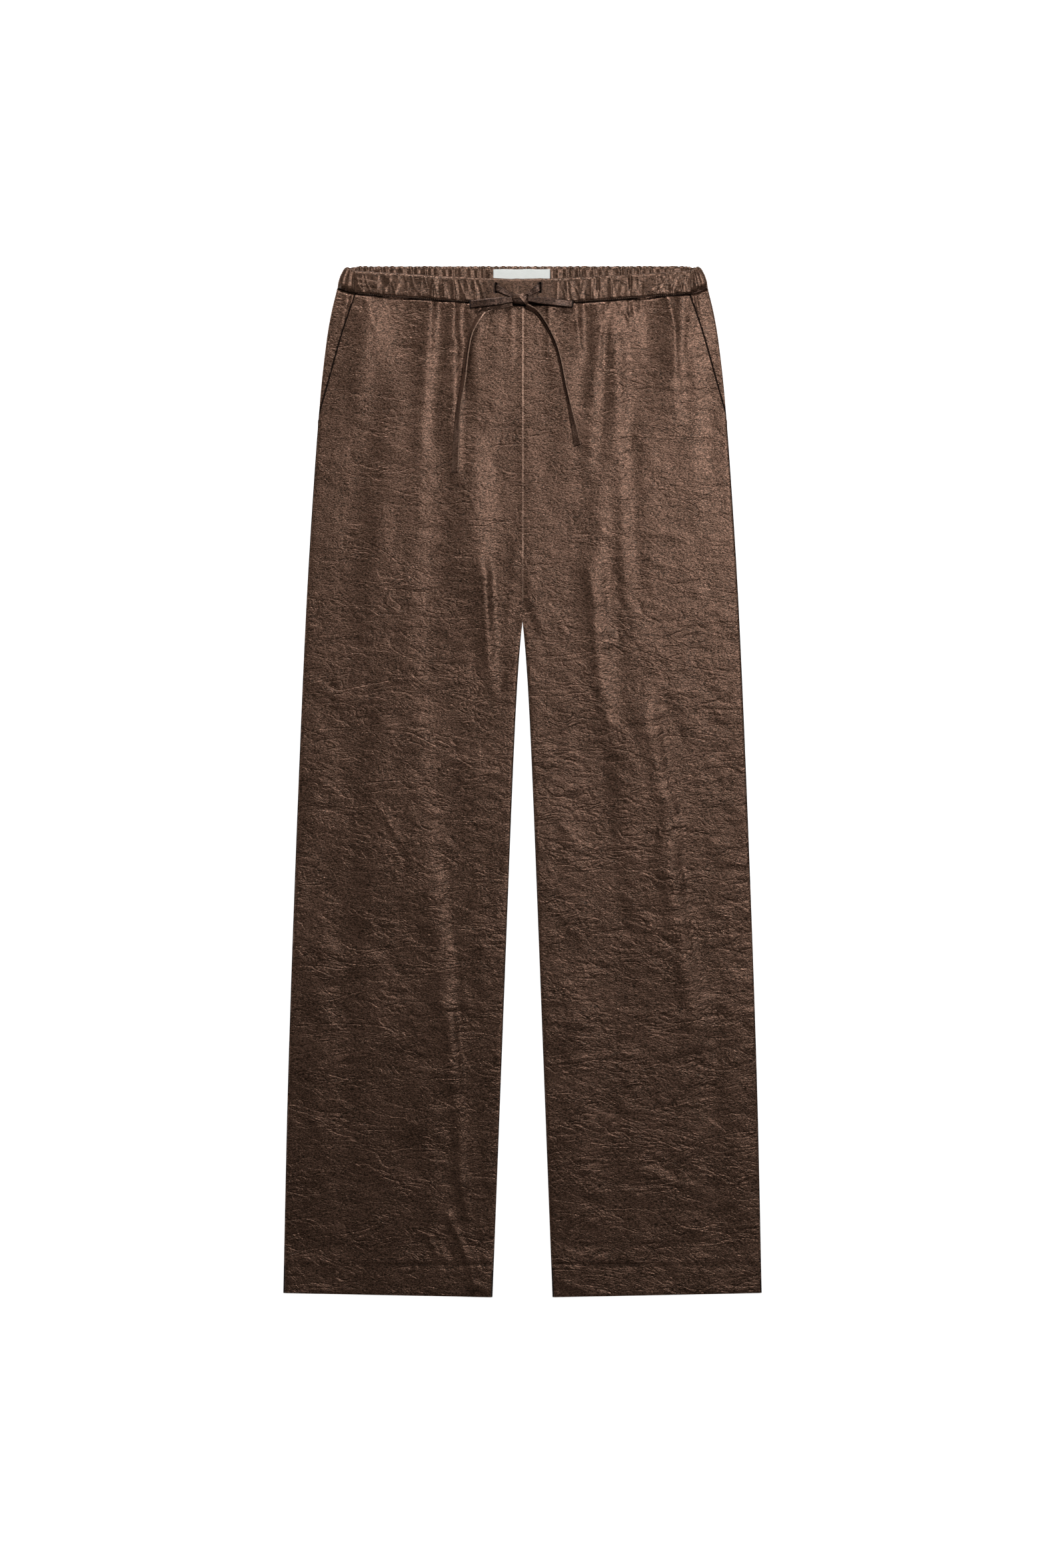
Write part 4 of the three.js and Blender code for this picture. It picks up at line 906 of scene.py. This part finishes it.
def cut_buttonholes(band):
    """Cuts the two slots through the band with Blender's own boolean."""
    for x, bottom, top in BUTTONHOLES:
        radius = BUTTONHOLE_WIDTH / 2
        angle = np.linspace(0, math.pi, 9)
        arc = np.stack([x + radius * np.cos(angle), top - radius + radius * np.sin(angle)], -1)
        lower = np.stack([x - radius * np.cos(angle), bottom + radius - radius * np.sin(angle)], -1)
        loop = np.concatenate([arc, lower])
        levels = (BUTTONHOLE_FLOOR_Z, BAND_TOP_Z + 2)
        rings = np.stack([np.column_stack([loop, np.full(len(loop), z)]) for z in levels])
        cutter = through_rings("buttonhole_cutter", rings, PAINTED_SHADOW)
        modifier = band.modifiers.new("buttonhole", "BOOLEAN")
        modifier.operation = "DIFFERENCE"
        modifier.object = cutter
        modifier.solver = "EXACT"
        bpy.context.view_layer.objects.active = band
        band.select_set(True)
        bpy.ops.object.modifier_apply(modifier=modifier.name)
        bpy.data.objects.remove(cutter, do_unlink=True)

    def in_slot(rise, centre, number):
        px, py, pz = centre
        inside = np.zeros(len(px), bool)
        for x, bottom, top in BUTTONHOLES:
            across = np.abs(px - x) < BUTTONHOLE_WIDTH / 2 + 0.02
            inside |= across & (py > bottom - 0.02) & (py < top + 0.02)
        return inside & (pz > BUTTONHOLE_FLOOR_Z - 0.1) & (pz < BAND_TOP_Z - 0.4)

    # The slots' walls get painted shadow
    repaint(band, PAINTED_SHADOW, in_slot)


def profile_columns(profile):
    """The heights and the shares out of a band's cross section, each as one row."""
    return np.array(profile).T[:, None, :]


def front_band():
    half = BAND_THICK / 2
    end = FRONT_BAND_HALF - SEAM_GAP / 2
    x = np.linspace(-end, end, 520)[:, None]
    height, share = profile_columns(FRONT_BAND_PROFILE)
    fade = smoothstep(end - np.abs(x), -0.5, 5)
    relief = band_relief(x, height) * fade * np.clip(share * 2.2 - 0.6, 0, 1)
    low = waist_seam(x) + VISIBLE_GAP + 0.25 * np.maximum(0, noise(x / 5, x * 0, 75)) * fade
    high = front_band_top(x) + 0.35 * noise(x / 6, x * 0, 76) * fade
    y = mix(low, high, height)
    z = BAND_TOP_Z - half + half * share + relief
    rings = np.stack([np.broadcast_to(x, y.shape), y, z], axis=-1)
    band = through_rings("front_waistband", rings, SATIN_BAND)
    cut_buttonholes(band)
    finish(band, "band", "waistband_front")


def elastic_wave(x):
    drift = 1.3 * np.sin(x / 31) + 1.1 * np.sin(x / 11.3 + 2) + 1.2 * noise(x / 9, x * 0, 85)
    swell = 0.75 + 0.35 * noise(x / 13, x * 0, 86)
    return swell * np.sin(2 * math.pi * x / BACK_GATHER_PITCH + drift)


def back_band():
    """The elastic band: across the back, up round both sides and over the front to the flat band."""
    half = BAND_THICK / 2
    turn_x = BAND_SIDE_X - BAND_TURN_RADIUS - half
    start = FRONT_BAND_HALF + SEAM_GAP / 2
    shift = np.linspace(0, 1, 16)
    top_x = mix(start, turn_x, shift)
    angle = np.linspace(math.pi / 2, -math.pi / 2, 26)[1:-1]
    turned = np.linspace(1, 0, 26)[1:-1]
    flat_x = np.linspace(turn_x, -turn_x, 620)
    side_share = smoothstep(np.abs(flat_x), turn_x - 24, turn_x)

    def half_path(sign):
        rows = [(sign * x, sign * x, math.pi / 2, s, s, 1.0, 1.0) for x, s in zip(top_x, shift)]
        rows += [(sign * BAND_SIDE_X, sign * turn_x, a, 1.0, 1.0, t, 0.0) for a, t in zip(angle, turned)]
        return rows

    middle = [(x, x, -math.pi / 2, s, s, 0.0, 0.0) for x, s in zip(flat_x, side_share)]
    path = np.array(half_path(1) + middle + half_path(-1)[::-1])
    x, centre, angle, side, shoulder, turned, is_top = (path[:, k:k + 1] for k in range(7))
    height, share = profile_columns(BACK_BAND_PROFILE)
    sign = np.sign(x)
    fine = 0.3 * noise(x / 2.1 + 0.5 * height, height * 1.7 + turned * 3, 81)
    fine += 0.2 * noise(x / 5, height * 3 + turned * 5, 82)
    sharp = elastic_wave(x + 0.8 * height)
    wave = BACK_GATHER_HEIGHT * (1.1 * sharp + 0.35 * np.abs(sharp) - 0.2) + fine
    low = np.where(is_top > 0.5, waist_seam(x), mix(back_seam(x), waist_seam(x), turned))
    top = np.where(is_top > 0.5, front_band_top(FRONT_BAND_HALF), BACK_BAND_TOP_Y)
    ruffle = 0.45 * elastic_wave(x + 1.5) + 0.7 * noise(x / 2.2, x * 0, 83) + 0.4 * noise(x / 0.9, x * 0, 84)
    ruffle *= RUFFLE
    high = mix(top, BACK_BAND_TOP_Y - 1.2, shoulder) + np.minimum(ruffle, RUFFLE)
    outer_side = np.clip(share * 2, 0, 1)
    inner_side = np.clip(-share * 2, 0, 1)
    puffs = 0.8 * noise(height * 2.6 + 7, turned * 3 + x / 11, 87)
    relief = (wave + puffs * turned) * (outer_side * turned - inner_side * (1 - turned * 0.8))
    reach = BAND_TURN_RADIUS + half * share + relief
    narrowing = (BAND_SIDE_X - BAND_TOP_SIDE_X) * height ** 1.9 * sign
    px = centre - narrowing * side + reach * np.cos(angle) * sign
    pz = BAND_TURN_RADIUS + half + reach * np.sin(angle)
    py = mix(low + VISIBLE_GAP, high, height)
    rings = np.stack(np.broadcast_arrays(px, py, np.maximum(pz, 0.0)), axis=-1)
    band = through_rings("elastic_waistband", rings, SATIN_BAND)
    finish(band, "band", "waistband_back")


def label():
    u = np.linspace(0, 1, 60)[None, :]
    v = np.linspace(0, 1, 24)[:, None]
    x = mix(LABEL_LEFT, LABEL_RIGHT, u) + 0 * v
    y = mix(LABEL_TOP - LABEL_HEIGHT, LABEL_TOP, v) + 0.25 * noise(u * 5, v * 0, 91)
    edge = np.minimum(np.minimum(u, 1 - u) * 20, (1 - v) * 8)
    sag = 0.18 * noise(u * 7, v * 2, 92) - 0.12 * np.exp(-edge * 3)
    outer = np.stack([x, y, LABEL_LIFT + LABEL_THICK + sag], -1)
    inner = np.stack([x, y, LABEL_LIFT + sag * 0.5 + 0 * x], -1)
    piece = shell("blank_label", outer, inner, LABEL_CLOTH)
    finish(piece, "label", "label")


# Drawstring

def tape_section(width, thick, soft=0.55):
    """Flat tube with a round edge and a slight hollow along its middle."""
    a, b = width / 2, thick / 2
    angle = np.linspace(0, 2 * math.pi, TAPE_SIDES, endpoint=False)
    c, s = np.cos(angle), np.sin(angle)
    u = a * np.sign(c) * np.abs(c) ** soft
    v = b * np.sign(s) * np.abs(s) ** 0.75
    hollow = 1 - 0.28 * np.exp(-(u / (0.42 * a)) ** 2)
    rims = 1 + 0.12 * np.exp(-((np.abs(u) - 0.78 * a) / 0.5) ** 2)
    return u, v * hollow * rims


def resampled(points, step):
    """A smooth route through points at even steps, with any further columns."""
    points = np.asarray(points, float)
    run = np.concatenate([[0], np.cumsum(np.linalg.norm(np.diff(points[:, :3], axis=0), axis=1) + 1e-6)])
    at = np.linspace(0, run[-1], max(8, int(run[-1] / step)))
    rows = [curve_at(list(zip(run, points[:, k])), at) for k in range(points.shape[1])]
    return np.stack(rows, axis=1)


def unit(v):
    return v / np.linalg.norm(v, axis=-1, keepdims=True)


def swept(points, width_axis, width, thick):
    """Rings of a tape along a route, each turned so that its width lies along its own axis."""
    tangent = unit(np.gradient(points, axis=0))
    width_axis = unit(width_axis - tangent * np.sum(width_axis * tangent, axis=1, keepdims=True))
    thick_axis = np.cross(tangent, width_axis)
    rings = []
    for k, point in enumerate(points):
        u, v = tape_section(width[k], thick[k])
        rings.append(point + u[:, None] * width_axis[k] + v[:, None] * thick_axis[k])
    return np.array(rings)


def short_tape(name, stops, step, thick, material):
    """A tape through stops of x, y, z, angle of the width from +Y, width."""
    route = resampled(stops, step)
    turn = np.radians(route[:, 3])
    axis = np.column_stack([np.sin(turn), np.cos(turn), np.zeros(len(turn))])
    rings = swept(route[:, :3], axis, route[:, 4], np.full(len(route), thick))
    piece = through_rings(name, rings, material)
    shade_tape(piece)
    return piece


def lead(name, stops):
    piece = short_tape(name.replace("drawstring_lead", "cord_lead"), stops, 0.7, LOOP_THICK, SATIN_BOW_PAINTED_SHADE)
    return finish(piece, "drawstring", name)


def bow_loop(name, start, tip, width):
    """A loop of the bow: out along the band, turned over at its tip and back above itself."""
    start, tip = np.array(start), np.array(tip)
    run = tip - start
    length = np.linalg.norm(run)
    run = run / length
    radius = LOOP_LAYERS_APART / 2
    straight = length - radius - LOOP_THICK / 2

    def low_at(part):
        return mix(LOOP_LOW_AT_KNOT, LOOP_LOW_AT_TIP, smoothstep(part, 0.6, 1)) + LOOP_THICK / 2

    part = np.linspace(0, 1, 46)
    angle = np.linspace(-math.pi / 2, math.pi / 2, 15)[1:-1]
    reach = np.concatenate([straight * part, straight + radius * np.cos(angle), straight * part[::-1]])
    swell = 0.5 * np.sin(math.pi * part) ** 2
    upper = low_at(part[::-1]) + LOOP_LAYERS_APART + swell[::-1]
    z = np.concatenate([low_at(part), low_at(1.0) + radius * (1 + np.sin(angle)), upper])
    points = np.column_stack([start[0] + run[0] * reach, start[1] + run[1] * reach, z])
    axis = np.tile([-run[1], run[0], 0.0], (len(points), 1))
    pinch = mix(0.72, 1.0, smoothstep(reach / straight, 0, 0.35))
    rings = swept(points, axis, width * pinch, np.full(len(points), LOOP_THICK))
    piece = through_rings(name.replace("bow_loop", "tied_loop"), rings, SATIN_BOW_PAINTED_SHADE)
    # The turned tip gets painted shadow, a dark band standing in for the shade of the fold
    repaint(piece, PAINTED_SHADOW, lambda rise, at, number: (at[:2].T - start) @ run > straight + radius * 0.55)
    shade_tape(piece)
    finish(piece, "drawstring", name)
    upper = points[len(part) + len(angle):]
    side = -0.3 if "right" in name else 0.12
    rows = np.arange(6, len(upper) - 8, 2)
    places = upper[rows] + axis[0] * (width * side) + np.array([0, 0, LOOP_THICK / 2 + 0.02])
    directions = np.tile([*run, 0.0], (len(rows), 1))
    sewn = stitches(f"{piece.name}_stitching", places, directions, THREAD_DARK, 0.9, 0.5, 0.2)
    return piece, sewn


def top_at(x, y):
    """Height of whatever the drawstring lies on."""
    x, y = np.asarray(x, float), np.asarray(y, float)
    left = front_top(np.abs(x), y, 1, fine=False)
    right = front_top(-np.abs(x), y, -1, fine=False)
    return np.where(y > waist_seam(x) - 0.5, BAND_TOP_Z, np.where(x > 0, left, right))


def tail(name, stops):
    """A free end of the drawstring, on edge where it bends and flat where it ends."""
    route = resampled([(x, y, 0.0, roll) for x, y, roll in stops], 1.0)
    plan = route[:, :2]
    tangent = unit(np.gradient(plan, axis=0))
    flat = np.column_stack([-tangent[:, 1], tangent[:, 0]])
    roll = np.radians(route[:, 3])
    reach = np.cos(roll) * TAPE_WIDTH / 2
    under = np.max([top_at(*(plan + flat * (reach * s)[:, None]).T) for s in (-1, 0, 1)], axis=0)
    half_height = np.sin(roll) * TAPE_WIDTH / 2 + np.cos(roll) * TAPE_THICK / 2
    height = under + TAPE_CLEARANCE + half_height
    smooth = np.convolve(np.pad(height, 4, mode="edge"), np.ones(9) / 9, mode="valid")
    points = np.column_stack([plan, smooth])
    axis = np.column_stack([flat * np.cos(roll)[:, None], np.sin(roll)])
    width = TAPE_WIDTH * (1 + 0.03 * noise(np.arange(len(plan)) / 9.0, np.zeros(len(plan)), 95))
    rings = swept(points, axis, width, np.full(len(plan), TAPE_THICK))
    hollow = rings[-1:]
    middle = hollow.mean(axis=1, keepdims=True)
    inward = np.append(-tangent[-1], 0.0)
    steps = ((0.86, 0.0), (0.72, 0.5), (0.66, 3.5))
    mouth = [middle + (hollow - middle) * grow + inward * deep for grow, deep in steps]
    cord_name = name.replace("drawstring_tail", "cord_end")
    piece = through_rings(cord_name, np.concatenate([rings] + mouth), SATIN_TAPE)
    # The hollow at the cord's end gets painted shadow
    piece.data.materials.append(PAINTED_SHADOW)
    for polygon in piece.data.polygons:
        if polygon.vertices[0] >= (len(plan) + 1) * TAPE_SIDES:
            polygon.material_index = 1
    # Painted shade on the steep faces, and a painted highlight on the rims' faces that face up
    shade_edges(piece, TAIL_SHADE_LIMIT)
    paint_rims(piece, SATIN_PAINTED_HIGHLIGHT, TAIL_HIGHLIGHT_RISE, 1.0)
    finish(piece, "drawstring", name)
    return piece, points * MM, rings


def knot():
    """The knot: a rounded lump with shallow grooves."""
    centre, half = (KNOT_LOW + KNOT_HIGH) / 2, (KNOT_HIGH - KNOT_LOW) / 2
    along = np.sin(np.linspace(-math.pi / 2, math.pi / 2, 60))[:, None]
    angle = np.linspace(0, 2 * math.pi, 72, endpoint=False)[None, :]
    full = 0.6 + 0.4 * np.sqrt(np.maximum(0, 1 - along ** 4))
    c, s = np.cos(angle), np.sin(angle)
    boxy = (np.abs(c) ** 3 + np.abs(s) ** 3) ** (-1 / 3)
    grooves = 0.93 + 0.07 * np.sin(3.1 * along + 1.7 * np.sin(angle))
    grooves = grooves + 0.05 * noise(along * 4, angle * 2.4, 97)
    scale = np.minimum(full * grooves, 1.0)
    x = centre[0] + half[0] * along + 0 * angle
    y = centre[1] + half[1] * scale * boxy * c
    z = centre[2] + half[2] * scale * boxy * s
    return finish(through_rings("tied_knot", np.stack([x, y, z], -1), SATIN_BOW_PAINTED_SHADE), "drawstring", "bow_knot")


def knot_fold(name, stops):
    return finish(short_tape(name, stops, 0.5, KNOT_FOLD_THICK, SATIN_TAPE), "drawstring")


# Sewing

def stitches(name, places, directions, material, length=1.7, width=0.5, height=0.3):
    """Many small raised stitches in one mesh. Places and directions are lists of 3-D points."""
    places, directions = np.asarray(places, float), unit(np.asarray(directions, float))
    up = np.array([0.0, 0.0, 1.0])
    across = unit(np.cross(directions, up))
    points, polygons = [], []
    for k, (place, along, sideways) in enumerate(zip(places, directions, across)):
        for u, v, w in STITCH_POINTS:
            points.append(place + along * (u * length) + sideways * (v * width) + up * (w * height))
        polygons += [[len(STITCH_POINTS) * k + i for i in face] for face in STITCH_FACES]
    mesh = bpy.data.meshes.new(name)
    mesh.from_pydata([tuple(p * MM) for p in points], [], polygons)
    mesh.materials.append(material)
    piece = placed(name, mesh)
    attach(piece, "root")
    return piece


def hem_stitches(hand, side):
    x = np.arange(HEM_INNER_X + 3, HEM_OUTER_X - 3, 2.9)
    y = np.full_like(x, HEM_STITCH_Y) + 0.15 * noise(x / 20, x * 0, 101)
    edge = outline(y)
    keep = (x < edge - 3.5) & (x > inner_edge(y) + 3.5)
    x, y = x[keep], y[keep]
    z = front_top(side * x, y, side) + 0.02
    places = np.column_stack([side * x, y, z])
    piece = stitches(f"hem_stitching_{hand}", places, np.tile([1, 0, 0], (len(x), 1)), THREAD_DARK)


def waist_stitches():
    x = np.arange(-168, 168, 2.1)
    x = x[(x < -56) | (x > 54)]
    y = waist_seam(x) - 0.1
    z = np.full_like(x, BAND_TOP_Z - 1.0)
    slope = np.gradient(y, x)
    directions = np.column_stack([np.ones_like(x), slope, np.zeros_like(x)])
    places = np.column_stack([x, y, z])
    piece = stitches("waist_seam_stitching", places, directions, THREAD, length=1.1, width=0.7)


def buttonhole_stitches():
    places, directions = [], []
    for x, bottom, top in BUTTONHOLES:
        for y in np.arange(bottom + 0.3, top, 0.75):
            for side in (-1, 1):
                at = x + side * (BUTTONHOLE_WIDTH / 2 + 0.75)
                height = BAND_TOP_Z + float(band_relief(np.array([[at]]), np.array([[0.7]]))[0, 0])
                places.append((at, y, height))
                directions.append((1, 0, 0))
    piece = stitches("buttonhole_stitching", places, directions, THREAD_DARK, length=1.5, height=0.35)


def tape_stitches(name, rings):
    """Two rows of small stitches along the tape's upper face."""
    places, directions = [], []
    middles = rings.mean(axis=1)
    for k in range(3, len(rings) - 3, 3):
        along = middles[k + 1] - middles[k - 1]
        for share in (-0.72, 0.72):
            ring = rings[k]
            upper = ring[np.argsort(ring[:, 2])[-TAPE_SIDES // 2:]]
            across = ring[0] - ring[TAPE_SIDES // 2]
            target = middles[k] + across / 2 * share
            nearest = upper[np.argmin(np.linalg.norm(upper[:, :2] - target[:2], axis=1))]
            places.append(nearest + np.array([0, 0, 0.03]))
            directions.append(along)
    piece = stitches(name, places, directions, THREAD_DARK, length=1.2, width=0.35, height=0.14)
    return piece


# Camera, light and floor

def studio():
    camera = placed("camera", bpy.data.cameras.new("camera"))
    camera.data.lens = CAMERA_LENS
    camera.data.sensor_width = SENSOR_WIDTH
    camera.location = CAMERA_PLACE
    bpy.context.scene.camera = camera

    floor_mesh = bpy.data.meshes.new("studio_floor")
    corners = [(a * FLOOR_HALF, b * FLOOR_HALF, FLOOR_Z) for a, b in ((-1, -1), (1, -1), (1, 1), (-1, 1))]
    floor_mesh.from_pydata(corners, [], [(0, 1, 2, 3)])
    floor = placed("studio_floor", floor_mesh)
    n = Nodes("pale_floor")
    soft = n.noise(260, detail=2.0)
    white = [(0.3, (0.93, 0.93, 0.93, 1)), (0.7, (0.97, 0.97, 0.97, 1))]
    n.drive("Base Color", n.ramp(soft, white))
    n.set(Roughness=0.9, Emission_Color=(1, 1, 1, 1), Emission_Strength=0.95)
    floor_mesh.materials.append(n.material)

    for name, place, target, size, power in SOFTBOXES:
        lamp = bpy.data.lights.new(name, "AREA")
        lamp.size = size
        lamp.energy = power
        source = placed(name, lamp)
        source.location = place
        direction = Vector(target) - Vector(place)
        source.rotation_euler = direction.to_track_quat("-Z", "Y").to_euler()
        source.visible_camera = False

    world = bpy.data.worlds.new("studio")
    world.use_nodes = True
    background = world.node_tree.nodes["Background"]
    background.inputs["Color"].default_value = (1, 1, 1, 1)
    background.inputs["Strength"].default_value = 0.05
    bpy.context.scene.world = world
    bpy.context.scene.view_settings.view_transform = "Standard"


def drawstring():
    """The whole drawstring: both free ends are cords, with the leads, the bow's loops, the knot and its
    folds, and stitching along the ends.
    """
    leads = {name: lead(name, stops) for name, stops in LEAD_STOPS.items()}
    loops = {name: bow_loop(name, *ends) for name, ends in LOOP_ENDS.items()}
    lump = knot()
    folds = [knot_fold(name, stops) for name, stops in KNOT_FOLDS.items()]
    for hand in ("right", "left"):
        name = f"drawstring_tail_{hand}"
        piece, path, rings = tail(name, TAIL_STOPS[name])
        extra = [leads[f"drawstring_lead_{hand}"], *loops[f"bow_loop_{hand}"]]
        if hand == "right":
            extra += [lump, *folds]
        extra.append(tape_stitches(f"cord_end_stitching_{hand}", rings))


studio()
drawstring()
for hand, side in (("left", 1), ("right", -1)):
    front_panel(hand, side)
    back_panel(hand, side)
    pocket_facing(hand, side)
    hem_stitches(hand, side)
front_band()
back_band()
label()
waist_stitches()
buttonhole_stitches()
